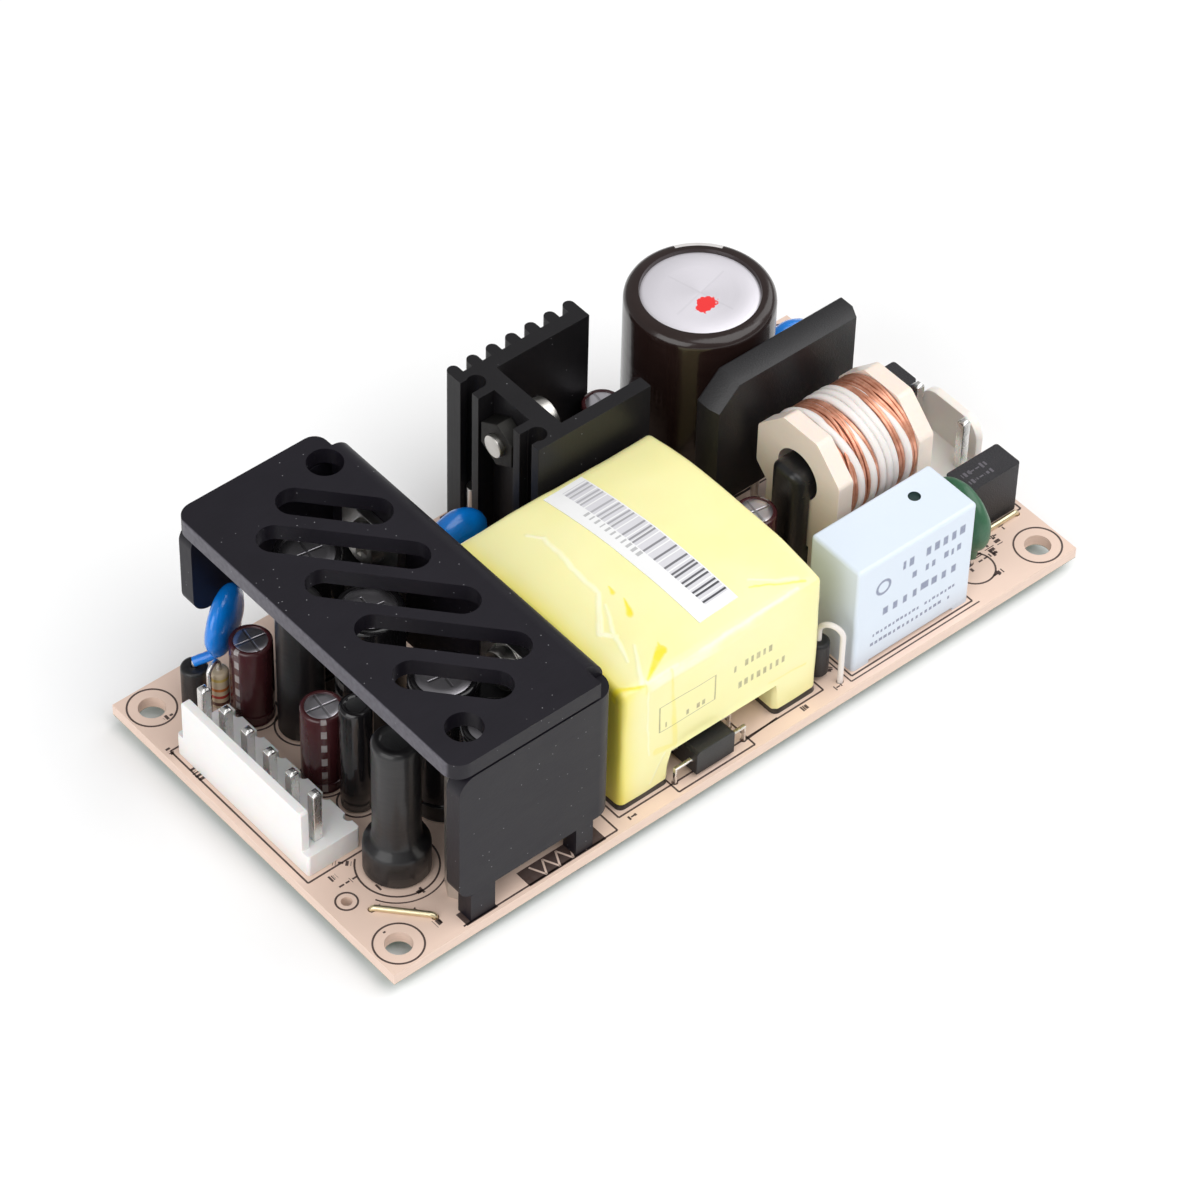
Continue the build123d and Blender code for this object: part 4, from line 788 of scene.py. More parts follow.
FRAMES = (
    # Node, how far the west, south, east and north lines stand off it, share of the line's width, sides drawn
    ("output_header", (0.55, 0.6, 0.6, 0.6), 1.0, "WSN"),
    ("output_heatsink", (-1.2, 0.0, 0.5, 0.1), 1.0, "ES"),
    ("transformer", (0.5, 0.5, 0.5, 0.5), 1.0, "WESN"),
    ("optocoupler", (0.4, 0.35, 0.4, 0.3), 1.0, "WESN"),
    ("boxed_capacitor", (0.35, 0.35, 0.35, 0.35), 1.0, "WESN"),
    ("boxed_capacitor", (0.95, 0.95, 0.95, 0.95), 0.8, "WS"),
    ("fuse_1", (0.4, 0.4, 0.4, 0.4), 1.0, "WESN"),
    ("fuse_2", (0.4, 0.4, 0.4, 0.4), 1.0, "WESN"),
    ("inlet_header", (0.4, 0.4, 0.4, 0.4), 1.0, "WESN"),
    ("bridge_rectifier", (0.4, 0.4, 0.4, 0.4), 1.0, "WESN"),
    ("primary_heatsink", (0.4, 0.4, 0.4, 0.3), 1.0, "WESN"),
)
PRINT_ROWS = (
    # Start, direction, number of ticks, seed and height
    (-49.7, 10.0, 1.571, 5, 1.0, 0.9), (-50.0, 15.4, 1.571, 4, 2.0, 0.9), (-47.6, 20.0, 0.0, 3, 3.0, 0.7),
    (-46.9, -10.4, 3.142, 4, 4.0, 1.0), (-45.2, -11.9, 3.142, 4, 5.0, 1.0), (-44.5, -14.6, 0.0, 3, 6.0, 1.0),
    (-47.2, -16.8, 0.0, 3, 7.0, 1.0), (-41.6, -17.9, 0.0, 3, 8.0, 1.0), (-42.9, -22.6, 0.0, 4, 9.0, 1.2),
    (-16.6, -24.3, 0.0, 4, 10.0, 0.9), (9.0, -24.2, 0.0, 3, 11.0, 0.9), (40.2, -22.6, 0.0, 4, 12.0, 1.2),
    (40.4, -19.9, 0.0, 5, 13.0, 1.0), (43.4, -17.9, 0.0, 4, 14.0, 0.9), (-48.0, -20.0, 0.0, 1, 15.0, 0.6),
    (14.2, -24.2, 0.0, 3, 16.0, 0.8), (44.5, 8.0, 1.571, 4, 17.0, 0.9), (-12.0, 20.6, 0.0, 5, 18.0, 0.9),
    (38.9, -14.9, -1.571, 12, 19.0, 1.5), (40.9, -14.3, -1.571, 14, 20.0, 1.5),
    (42.9, -15.0, -1.571, 11, 21.0, 1.5), (44.4, -17.0, -1.571, 6, 22.0, 1.0),
    (-43.6, -19.6, -1.0, 5, 23.0, 1.3), (-46.0, -8.6, -0.8, 5, 24.0, 1.2),
    (15.4, -21.6, 0.9, 4, 25.0, 1.0), (46.4, -16.4, -1.571, 3, 26.0, 0.8),
)


class SUPPLY_OT_board(bpy.types.Operator):
    """Finish the board and print its outlines"""
    bl_idname = "supply.board"
    bl_label = "Board"

    def execute(self, context):
        f, line = finishes(), sizes().ink / MM
        coat("circuit_board", laminate(tuple(f.laminate), tuple(f.track), tuple(f.mask)))
        mesh = bmesh.new()
        low, high = corners("circuit_board")
        height = (BOARD_TOP, BOARD_TOP + INK_HEIGHT)
        for x in (low.x + HOLE_INSET, high.x - HOLE_INSET):
            for y in (low.y + HOLE_INSET, high.y - HOLE_INSET):
                hoop(mesh, (x, y), 2.85, line, height)
        for spot, radius, share, steps, angle, start in RINGS:
            hoop(mesh, spot, radius, line * share, height, steps, angle, start)
        for node, (west, south, east, north), share, sides in FRAMES:
            a, b = corners(node)
            outline_box(mesh, a.x - west, a.y - south, b.x + east, b.y + north, line * share, sides)
        for node in RINGED:
            x, y, _ = middle(node)
            a, b = corners(node)
            hoop(mesh, (x, y), (b.x - a.x) / 2 + 0.35, line, height, 40)
        for spot, size in SLABS:
            slab(mesh, spot, size)
        # Bare lines across the long patch
        for number in range(7):
            spot = Vector(PATCH) + Vector((number * 0.95 - 3.4, 0.0, 0.015))
            paint_faces(faces_of(slab(mesh, spot, (0.24, 2.2, INK_HEIGHT / 2), (-1) ** number * 0.45)), 1)
        slab(mesh, (3.4, -23.55, PATCH[2]), (5.2, line, INK_HEIGHT), 0.06)
        for row in PRINT_ROWS:
            greeked(mesh, *row)
        inks = [print_ink("outline ink", tuple(f.outlines)), print_ink("bare laminate", tuple(f.laminate))]
        show("board_outlines", metres(mesh), inks)
        return {"FINISHED"}


class SUPPLY_OT_underside(bpy.types.Operator):
    """Finish the solder joints and the parts under the board"""
    bl_idname = "supply.underside"
    bl_label = "Underside"

    def execute(self, context):
        f = finishes()
        solder = bright_metal("solder", shaded(f.tin, 0.92), 0.2, (1.0, 1.0, 1.0), 0.3)
        softened("solder_fillets", "solder_joints", [solder], 0.16, 40.0)
        black = moulded("chip moulding", shaded(f.moulding_black, 1.2), 0.42, 0.15, 0.02)
        tinned = bright_metal("chip lead", tuple(f.tin), 0.24)
        low, high = corners("controller")
        reach = (high.x - low.x) / 2 - 0.9
        mid = middle("controller").x
        softened("controller_chip", "controller", [black, tinned], 0.05,
                 pick=lambda face: int(abs(spot_of(face).x - mid) > reach))
        mid = middle("chip_parts").x
        mesh = merged("chip_parts")
        soften(mesh, 0.04)
        for face in mesh.faces:
            spot = spot_of(face)
            row = min((mid - 1.6, mid + 1.6), key=lambda x: abs(spot.x - x))
            face.material_index = int(abs(spot.x - row) > 0.62)
        metres(mesh)
        show("small_chips", mesh, [black, tinned], ["chip_parts"], weighted=True)
        return {"FINISHED"}


# Heatsinks, headers and packages

class SUPPLY_OT_folded_heatsink(bpy.types.Operator):
    """Show the folded output heatsink with eased edges"""
    bl_idname = "supply.folded_heatsink"
    bl_label = "Folded heatsink"

    def execute(self, context):
        low, high = corners("output_heatsink")
        plate_under = high.z - COVER_SHEET - 0.1
        # The plate's -X edge is painted lighter: partly wear, partly painted highlight
        black = black_metal("black anodised sheet", tuple(finishes().sheet_black), (0.35, 2.2, 0.8), 0.8,
                            (low.x, plate_under))
        mesh = merged("output_heatsink")
        # The plate's corner beside its back bend is rounded
        corner = Vector((high.x - COVER_BEND, high.y))

        def at_corner(edge):
            return all((vertex.co.xy - corner).length < 0.1 and vertex.co.z > plate_under - 0.1
                       for vertex in edge.verts)
        soften(mesh, 1.7, segments=6, chosen=at_corner)
        soften(mesh, sizes().edge * 1.3 / MM)
        show("folded_sheet", metres(mesh), [black], ["output_heatsink"], weighted=True)
        return {"FINISHED"}


class SUPPLY_OT_extruded_heatsink(bpy.types.Operator):
    """Show the extruded heatsink with drawn lines"""
    bl_idname = "supply.extruded_heatsink"
    bl_label = "Extruded heatsink"

    def execute(self, context):
        black = black_metal("black anodised extrusion", tuple(finishes().sink_black), (3.0, 3.0, 0.08), 0.3)
        softened("extruded_fins", "primary_heatsink", [black], sizes().edge * 0.8 / MM)
        return {"FINISHED"}


class SUPPLY_OT_headers(bpy.types.Operator):
    """Show both headers and their pins"""
    bl_idname = "supply.headers"
    bl_label = "Headers and pins"

    def execute(self, context):
        f, edge = finishes(), sizes().edge / MM
        white = moulded("white nylon", tuple(f.header_white), 0.30, 0.03, 0.012, 0.2, 0.25)
        cream = moulded("cream nylon", tuple(f.header_cream), 0.32, 0.05, 0.012, 0.2, 0.25)
        pin = bright_metal("tinned pin", tuple(f.tin), 0.14, (1.0, 1.0, 0.3), 0.2)
        softened("white_header", "output_header", [white], edge * 1.6)
        softened("cream_header", "inlet_header", [cream], edge * 1.6)
        for node in [f"output_pin_{n}" for n in range(1, 7)] + ["inlet_pin_1", "inlet_pin_2"]:
            softened(f"{node}_bright", node, [pin], edge * 0.5)
        return {"FINISHED"}


class SUPPLY_OT_packages(bpy.types.Operator):
    """Show the power packages with tinned tabs and leads"""
    bl_idname = "supply.packages"
    bl_label = "Power packages"

    def execute(self, context):
        f, edge = finishes(), sizes().edge / MM
        black = moulded("package moulding", tuple(f.moulding_black), 0.45, 0.15, 0.03)
        tab = bright_metal("tinned tab", tuple(f.tin), 0.22)
        for node in ("output_rectifier_1", "output_rectifier_2", "switching_transistor"):
            low, high = corners(node)
            body_foot = high.z - 15.6

            def pick(face, node=node, low=low, high=high, foot=body_foot):
                spot = spot_of(face)
                tab_side = spot.x < low.x + 1.32 if node == "switching_transistor" else spot.x > high.x - 1.32
                return int(tab_side or spot.z < foot - 0.02)
            softened(f"{node}_body", node, [black, tab], edge * 0.7, pick=pick)
        return {"FINISHED"}


class SUPPLY_OT_fasteners(bpy.types.Operator):
    """Show the screws and pillar in plated steel, and the nut in plated steel darkened as painted shade"""
    bl_idname = "supply.fasteners"
    bl_label = "Screws, nut and pillar"

    def execute(self, context):
        steel = bright_metal("plated steel", tuple(finishes().steel), 0.2, (1.0, 1.0, 1.0))
        # Painted shade: the nut's steel is darkened almost to black
        dull = bright_metal("shade darkened nut", shaded(finishes().steel, 0.06), 0.45, (1.0, 1.0, 1.0))
        for node in ("rectifier_screws", "pillar_screw", "transistor_screw", "channel_screws",
                     "transistor_nut", "cover_pillar"):
            plating = dull if node == "transistor_nut" else steel
            softened(f"{node}_plated", node, [plating], 0.12, 40.0)
        return {"FINISHED"}


# Cans and sleeved rods

CANS = {
    # Node: sleeve, lead pitch, leads along X, stripe's middle and width in degrees
    "bulk_capacitor": ("brown", 7.5, True, 49.5, 42.0),
    "supply_capacitor_1": ("maroon", 2.0, False, 20.0, 24.0),
    "supply_capacitor_2": ("maroon", 2.0, False, 100.0, 24.0),
    "filter_capacitor_1": ("maroon", 2.0, False, 190.0, 15.0),
    "filter_capacitor_2": ("maroon", 2.0, False, 236.0, 15.0),
    "output_capacitor_1": ("black", 3.5, False, 262.0, 50.0),
    "output_capacitor_2": ("black", 3.5, False, 20.0, 50.0),
    "output_capacitor_3": ("black", 3.5, False, 160.0, 50.0),
    "output_capacitor_4": ("black", 3.5, False, 80.0, 50.0),
}


def rounded_rim(radius, top, rim, shares):
    """Points of a rounded rim, from a wall round to a top."""
    turns = [math.pi / 2 * share for share in shares]
    return [(radius - rim + rim * math.cos(turn), top - rim + rim * math.sin(turn)) for turn in turns]


def build_can(node, materials):
    """A can: rubber foot, rolled groove, sleeve drawn over the rim, sunk disc and leads."""
    _, pitch, along_x, stripe, span = CANS[node]
    low, high = corners(node)
    x, y, top = (low.x + high.x) / 2, (low.y + high.y) / 2, high.z
    r = (high.x - low.x) / 2
    height = top - BOARD_TOP
    groove = BOARD_TOP + 0.14 * height
    mesh = bmesh.new()
    rim = 0.14 * r
    outline = [(0.0, BOARD_TOP + 0.08), (0.80 * r, BOARD_TOP + 0.08), (0.93 * r, BOARD_TOP + 0.02),
               (r, BOARD_TOP + 0.08 * r), (r, groove - 0.10 * r)]
    for share in (0.0, 0.25, 0.5, 0.75, 1.0):
        turn = math.pi * share
        outline.append((r - 0.07 * r * math.sin(turn), groove - 0.07 * r * math.cos(turn)))
    outline += [(r, groove + 0.10 * r), (r, top - rim)]
    outline += rounded_rim(r, top, rim, (0.2, 0.4, 0.6, 0.8, 1.0))
    turned(mesh, outline, (x, y), 96)
    wall = list(mesh.faces)
    for face in wall:
        spot = spot_of(face)
        angle = math.degrees(math.atan2(spot.y - y, spot.x - x))
        away = abs((angle - stripe + 180) % 360 - 180)
        reach = math.hypot(spot.x - x, spot.y - y)
        if reach > 0.86 * r and spot.z > BOARD_TOP + 0.3 and away < span / 2:
            face.material_index = 1
    lip = [(0.86 * r, top), (0.80 * r, top - 0.01), (0.785 * r, top - 0.05 * r)]
    turned(mesh, lip, (x, y), 96)
    disc_height = top - 0.055 * r
    disc = [(0.785 * r, disc_height)] + [(share * r, disc_height + 0.02 * r) for share in (0.74, 0.5, 0.0)]
    turned(mesh, disc, (x, y), 96)
    bmesh.ops.remove_doubles(mesh, verts=mesh.verts, dist=0.0005)
    bmesh.ops.recalc_face_normals(mesh, faces=mesh.faces)
    for face in mesh.faces:
        spot = spot_of(face)
        if math.hypot(spot.x - x, spot.y - y) < 0.79 * r and spot.z > BOARD_TOP + 1:
            face.material_index = 2
    for side in (-1, 1):
        spot = (x + side * pitch / 2, y) if along_x else (x, y + side * pitch / 2)
        paint_faces(faces_of(post(mesh, *spot, 0.3 if r < 6 else 0.4, -TAIL, BOARD_TOP + 0.3)), 3)
    return show(f"{node}_sleeved", metres(mesh), materials, [node], 40.0)


class SUPPLY_OT_cans(bpy.types.Operator):
    """Build the electrolytic capacitors"""
    bl_idname = "supply.cans"
    bl_label = "Electrolytic capacitors"

    def execute(self, context):
        f = finishes()
        sleeves = {
            "brown": shrunk("brown sleeve", tuple(f.sleeve_brown), 0.14),
            "maroon": shrunk("maroon sleeve", tuple(f.sleeve_maroon), 0.14),
            "black": shrunk("dark sleeve", tuple(f.sleeve_black), 0.14),
        }
        stripes = {
            "brown": shrunk("pale stripe", tuple(f.sleeve_stripe), 0.2),
            "maroon": dashed_sleeve("dashed stripe", shaded(f.sleeve_maroon, 1.3), tuple(f.sleeve_stripe)),
            "black": dashed_sleeve("dark dashed stripe", shaded(f.sleeve_black, 1.3),
                                   shaded(f.sleeve_stripe, 0.5)),
        }
        lead = bright_metal("can lead", tuple(f.tin), 0.2)
        for node, (sleeve, *_) in CANS.items():
            low, high = corners(node)
            centre = ((low.x + high.x) / 2, (low.y + high.y) / 2)
            vent = (0.6, 4, 1.9, 1.0)
            if node == "bulk_capacitor":
                vent = (0.35, 4, 4.6, 0.16, (-0.8, -1.85, 1.5, tuple(f.red_dot)))
            # Painted shade: the tops of the black-sleeved cans under the folded heatsink are darkened
            painted_shade_share = 0.42 if sleeve == "black" else 1.0
            disc = can_disc(f"{node} disc", shaded(f.aluminium, painted_shade_share), centre, *vent)
            build_can(node, [sleeves[sleeve], stripes[sleeve], disc, lead])
        return {"FINISHED"}


RODS = {
    # Node: lead pitch, collar's height and diameter
    "slim_choke": (2.0, 0.0, 0.0),
    "tall_choke": (2.5, 0.0, 0.0),
    "rod_choke": (4.0, 5.0, 7.8),
}


class SUPPLY_OT_rods(bpy.types.Operator):
    """Build the rod chokes in their shrunk sleeves"""
    bl_idname = "supply.rods"
    bl_label = "Rod chokes"

    def execute(self, context):
        f = finishes()
        glossy = shrunk("black shrunk sleeve", tuple(f.sleeve_black), 0.12, 1.6)
        satin = shrunk("satin shrunk sleeve", tuple(f.sleeve_black), 0.36, 1.2)
        core = fine_ferrite("rod end", tuple(f.ferrite))
        lead = bright_metal("rod lead", tuple(f.tin), 0.2)
        diameters = {"slim_choke": 4.0, "tall_choke": 5.6, "rod_choke": 5.6}
        for node, (pitch, collar_height, collar) in RODS.items():
            low, high = corners(node)
            x, y, r, top = (low.x + high.x) / 2, (low.y + high.y) / 2, diameters[node] / 2, high.z
            mesh = bmesh.new()
            outline = [(0.0, BOARD_TOP + 0.05)]
            if collar:
                c = collar / 2
                level = BOARD_TOP + collar_height
                outline += [(c - 0.3, BOARD_TOP + 0.05), (c, BOARD_TOP + 0.35), (c, level - 1.0),
                            (c - 0.2, level - 0.5), (r + 0.3, level - 0.1), (r + 0.05, level + 0.5)]
            else:
                outline += [(r - 0.25, BOARD_TOP + 0.05), (r, BOARD_TOP + 0.3)]
            rim = 0.24 * r
            wall_foot = BOARD_TOP + collar_height + 0.8
            for share in (0.15, 0.35, 0.55, 0.75, 0.9):
                outline.append((r, wall_foot + (top - rim - wall_foot) * share))
            outline += rounded_rim(r, top, rim, (0.0, 0.2, 0.4, 0.6, 0.8, 1.0))
            outline += [(0.62 * r, top - 0.02), (0.56 * r, top - 0.12), (0.0, top - 0.14)]
            turned(mesh, outline, (x, y), 56)
            for vertex in mesh.verts:
                spot = vertex.co
                swell = noise.noise(Vector((spot.x * 0.5, spot.y * 0.5, spot.z * 0.35 + 3.0)))
                away = Vector((spot.x - x, spot.y - y, 0))
                if away.length > 0.7 * r and spot.z < top - 0.05:
                    vertex.co -= away.normalized() * 0.07 * (swell + 1)
            for face in mesh.faces:
                spot = spot_of(face)
                if spot.z > top - 0.2 and math.hypot(spot.x - x, spot.y - y) < 0.57 * r:
                    face.material_index = 1
            for side in (-1, 1):
                paint_faces(faces_of(post(mesh, x, y + side * pitch / 2, 0.3, -TAIL, BOARD_TOP + 0.3)), 2)
            sleeve = glossy if node == "slim_choke" else satin
            show(f"{node}_sleeved", metres(mesh), [sleeve, core, lead], [node], 45.0)
        return {"FINISHED"}


# Dipped discs

def build_disc(mesh, centre, radius, thickness, across, steps=56):
    """A dipped disc: a lens with a full rim, on edge, facing square to a direction across it."""
    half = thickness / 2
    outline = [(reach * radius, -depth * half) for reach, depth in (
        (0.0, 1.0), (0.45, 0.98), (0.72, 0.86), (0.88, 0.62), (0.97, 0.32), (1.0, 0.0))]
    outline += [(r, -h) for r, h in reversed(outline[:-1])]
    faces = turned(mesh, outline, (0.0, 0.0), steps)
    vertices = list({vertex for face in faces for vertex in face.verts})
    facing = Vector((-across.y, across.x, 0.0))
    place = Matrix.Translation(centre) @ Matrix((across, Vector((0, 0, 1)), -facing)).transposed().to_4x4()
    bmesh.ops.transform(mesh, matrix=place, verts=vertices)
    for vertex in vertices:
        away = (vertex.co - Vector(centre)).normalized()
        vertex.co -= away * 0.16 * (noise.noise(vertex.co * 0.45) + 0.5)
    bmesh.ops.recalc_face_normals(mesh, faces=faces)
    return faces


DISCS = {
    # Node: diameter, thickness, angle across in degrees, lead pitch
    "thermistor": (9.8, 3.2, 90.0, 5.0),
    "safety_disc_1": (8.8, 3.6, 0.0, 5.0),
    "safety_disc_2": (8.8, 3.6, 0.0, 5.0),
}


class SUPPLY_OT_discs(bpy.types.Operator):
    """Build the thermistor and the blue discs with their dipped leads"""
    bl_idname = "supply.discs"
    bl_label = "Dipped discs"

    def execute(self, context):
        f = finishes()
        green = dipped("green coating", tuple(f.green_dip), shaded(f.green_dip, 0.55), 0.35, 0.10)
        blue = dipped("blue coating", tuple(f.blue_dip), shaded(f.blue_dip, 0.55), 0.14, 0.07)
        lead = bright_metal("disc lead", tuple(f.tin), 0.18)
        for node, (diameter, thickness, angle, pitch) in DISCS.items():
            low, high = corners(node)
            across = Vector((math.cos(math.radians(angle)), math.sin(math.radians(angle)), 0.0))
            centre = Vector(((low.x + high.x) / 2, (low.y + high.y) / 2, high.z - diameter / 2))
            mesh = bmesh.new()
            build_disc(mesh, centre, diameter / 2, thickness, across)
            for side in (-1, 1):
                foot = centre + across * (side * pitch / 2)
                neck = centre.z - 0.34 * diameter
                post(mesh, foot.x, foot.y, 0.62, neck - 1.6, neck + 0.5, 16, 0.9)
                paint_faces(faces_of(post(mesh, foot.x, foot.y, 0.3, -TAIL, neck)), 1)
            show(f"{node}_dipped", metres(mesh),
                 [green if node == "thermistor" else blue, lead], [node], 50.0)
        # Raised disc at the output corner: one lead runs into the bead, the other straight down
        low, high = corners("ceramic_capacitor")
        bead = middle("ferrite_bead")
        turn = math.radians(30.0)
        across = Vector((math.cos(turn), math.sin(turn), 0.0))
        diameter, thickness = 8.8, 2.6
        centre = Vector((bead.x + 3.8, bead.y - 0.9, high.z - diameter / 2))
        mesh = bmesh.new()
        build_disc(mesh, centre, diameter / 2, thickness, across)
        root = centre - Vector((0, 0, 0.40 * diameter)) - across * 1.5
        neck = Vector((bead.x, bead.y, corners("ferrite_bead")[1].z + 0.6))
        tube(mesh, [root + Vector((0, 0, 1.2)), root, root.lerp(neck, 0.45) + Vector((0, 0, -0.1)),
                    root.lerp(neck, 0.8), neck], 0.62, 14)
        bare = tube(mesh, [neck + Vector((0.2, 0, 0.25)), neck, neck - Vector((0, 0, 0.8)),
                           Vector((bead.x, bead.y, -TAIL))], 0.3, 12)
        paint_faces(bare, 1)
        foot = centre + across * 2.5
        post(mesh, foot.x, foot.y, 0.55, centre.z - 5.6, centre.z - 3.0, 14, 0.85)
        paint_faces(faces_of(post(mesh, foot.x, foot.y, 0.3, -TAIL, centre.z - 4.0)), 1)
        show("raised_disc", metres(mesh), [blue, lead], ["ceramic_capacitor"], 50.0)
        return {"FINISHED"}


# Transformer

TAPE_GRID = 0.75
LEFT_LEG = 7.35
RIGHT_LEG = 6.5
LEG_HEIGHT = 5.1


def tape_block(mesh, low, high, tunnel_low, tunnel_high, leg_top):
    """The taped block on its two legs, cut into a fine grid that can be creased."""
    outline = [(low.x, low.z), (tunnel_low, low.z), (tunnel_low, leg_top), (tunnel_high, leg_top),
               (tunnel_high, low.z), (high.x, low.z), (high.x, high.z), (low.x, high.z)]
    face = mesh.faces.new([mesh.verts.new((x, low.y, z)) for x, z in outline])
    moved = bmesh.ops.extrude_face_region(mesh, geom=[face])["geom"]
    back = [part for part in moved if isinstance(part, bmesh.types.BMVert)]
    bmesh.ops.translate(mesh, vec=(0, high.y - low.y, 0), verts=back)
    bmesh.ops.recalc_face_normals(mesh, faces=mesh.faces)
    rounded = [edge for edge in mesh.edges if edge.calc_face_angle(0.0) > 0.8
               and not all(abs(v.co.z - leg_top) < 0.01 for v in edge.verts)
               and not all(abs(v.co.z - low.z) < 0.01 for v in edge.verts)]
    bmesh.ops.bevel(mesh, geom=rounded, offset=0.8, offset_type="OFFSET", segments=4, profile=0.5,
                    material=-1, affect="EDGES", clamp_overlap=True)
    for axis in range(3):
        normal = Matrix.Identity(3)[axis]
        count = int((high[axis] - low[axis]) / TAPE_GRID)
        for number in range(1, count):
            spot = normal * (low[axis] + (high[axis] - low[axis]) * number / count)
            bmesh.ops.bisect_plane(mesh, geom=mesh.verts[:] + mesh.edges[:] + mesh.faces[:], dist=0.02,
                                   plane_co=spot, plane_no=normal, clear_inner=False, clear_outer=False)


def tape_rise(spot, low, high):
    """How far the tape stands over the block's top, which arches a little from back to front."""
    share = (2 * spot.y - low.y - high.y) / (high.y - low.y)
    near_top = max(0.0, min(1.0, (spot.z - high.z + 7.0) / 7.0))
    return near_top * (1.40 * (1 - share * share) - 0.15)


def tape_sag(spot):
    """How far the tape stands off the block's faces at a spot."""
    return noise.noise(spot * 0.13 + Vector((3.0, 1.0, 0.0))) * 0.22 + noise.noise(spot * 0.4) * 0.05


class SUPPLY_OT_transformer(bpy.types.Operator):
    """Build the taped transformer and its label"""
    bl_idname = "supply.transformer"
    bl_label = "Transformer"

    def execute(self, context):
        f = finishes()
        low, high = corners("transformer")
        low.z = BOARD_TOP + 0.02
        tunnel_low, tunnel_high, leg_top = low.x + LEFT_LEG, high.x - RIGHT_LEG, BOARD_TOP + LEG_HEIGHT
        mesh = bmesh.new()
        tape_block(mesh, low, high, tunnel_low, tunnel_high, leg_top)
        mesh.normal_update()
        for vertex in mesh.verts:
            spot = vertex.co.copy()
            inside = tunnel_low - 0.1 < spot.x < tunnel_high + 0.1 and spot.z < leg_top + 0.1
            if inside or spot.z < low.z + 0.1:
                continue
            vertex.co += vertex.normal * (tape_sag(spot) - 0.10)
            vertex.co.z += tape_rise(spot, low, high)
        ink = (0.10, 0.07, 0.05)
        film = yellow_film(tuple(f.tape), tuple(f.tape_fold), tuple(f.tape_glare), ink, low, high)
        metres(mesh)
        show("taped_block", mesh, [film], ["transformer"], 60.0)
        # Pins under the legs
        mesh = bmesh.new()
        mid_y = (low.y + high.y) / 2
        for row in (low.x + LEFT_LEG / 2, high.x - RIGHT_LEG / 2):
            for number in range(5):
                post(mesh, row, mid_y + (number - 2) * 5.0, 0.35, -TAIL, BOARD_TOP + 0.3)
        show("transformer_pins", metres(mesh), [bright_metal("transformer pin", tuple(f.tin), 0.2)])
        # Label: a thin sheet that follows the tape under it
        centre = middle("transformer_label")
        turn, width, length = math.radians(2.3), 5.8, 25.6
        mesh = bmesh.new()
        place = Matrix.Translation((centre.x, centre.y, high.z)) @ Matrix.Rotation(turn, 4, "Z")
        bmesh.ops.create_grid(mesh, x_segments=10, y_segments=44, size=0.5,
                              matrix=place @ Matrix.Diagonal((width, length, 1, 1)))
        for vertex in mesh.verts:
            spot = vertex.co.copy()
            on_top = Vector((spot.x, spot.y, high.z))
            vertex.co.z += tape_sag(on_top) + tape_rise(on_top, low, high) - 0.02
        bmesh.ops.solidify(mesh, geom=mesh.faces[:], thickness=0.09)
        bmesh.ops.recalc_face_normals(mesh, faces=mesh.faces)
        paper = barred_paper(tuple(f.label), tuple(f.grey_ink), (*centre.xy, 0.0), turn, length, width)
        show("paper_label", metres(mesh), [paper], ["transformer_label"], 40.0)
        return {"FINISHED"}


# Small parts between the transformer and the mains end

class SUPPLY_OT_small_parts(bpy.types.Operator):
    """Show the optocoupler, the upright parts, the bead and the wire links"""
    bl_idname = "supply.small_parts"
    bl_label = "Small parts"

    def execute(self, context):
        f = finishes()
        black = moulded("small moulding", tuple(f.moulding_black), 0.36, 0.15, 0.02)
        tinned = bright_metal("tinned lead", tuple(f.tin), 0.16)
        mid = middle("optocoupler")
        softened("optocoupler_body", "optocoupler", [black, tinned], 0.08,
                 pick=lambda face: int(abs(spot_of(face).x - mid.x) > 2.85
                                       or spot_of(face).z < BOARD_TOP + 0.4))
        bead = fine_ferrite("bead ferrite", tuple(f.ferrite), 0.25)
        softened("bead_body", "ferrite_bead", [bead], 0.2)
        # Upright resistor with bands, and its bare loop
        _, high = corners("output_resistor")
        body_low, body_high = BOARD_TOP + 0.8, BOARD_TOP + 6.4
        bands = ((0.16, 0.26, (0.10, 0.03, 0.02)), (0.36, 0.22, (0.45, 0.04, 0.03)),
                 (0.56, 0.22, (0.55, 0.16, 0.03)), (0.84, 0.22, (0.55, 0.40, 0.10)))
        coat_paint = banded(tuple(f.resistor), bands, body_low, body_high)
        softened("resistor_body", "output_resistor", [coat_paint, tinned], 0.05, 30.0,
                 pick=lambda face: int(not (body_low - 0.01 < spot_of(face).z < body_high + 0.01
                                            and spot_of(face).x > high.x - 2.32)))
        _, high = corners("upright_diode")
        white = moulded("white sleeving", tuple(f.white_wire), 0.3, 0.05, 0.01, 0.2)
        softened("diode_body", "upright_diode", [black, white], 0.05, 30.0,
                 pick=lambda face: int(spot_of(face).z > BOARD_TOP + 5.8
                                       or spot_of(face).y < high.y - 2.72))
        link = bright_metal("link wire", (0.86, 0.76, 0.50), 0.2)
        softened("links_bare", "wire_links", [link], 0.03, 80.0)
        return {"FINISHED"}


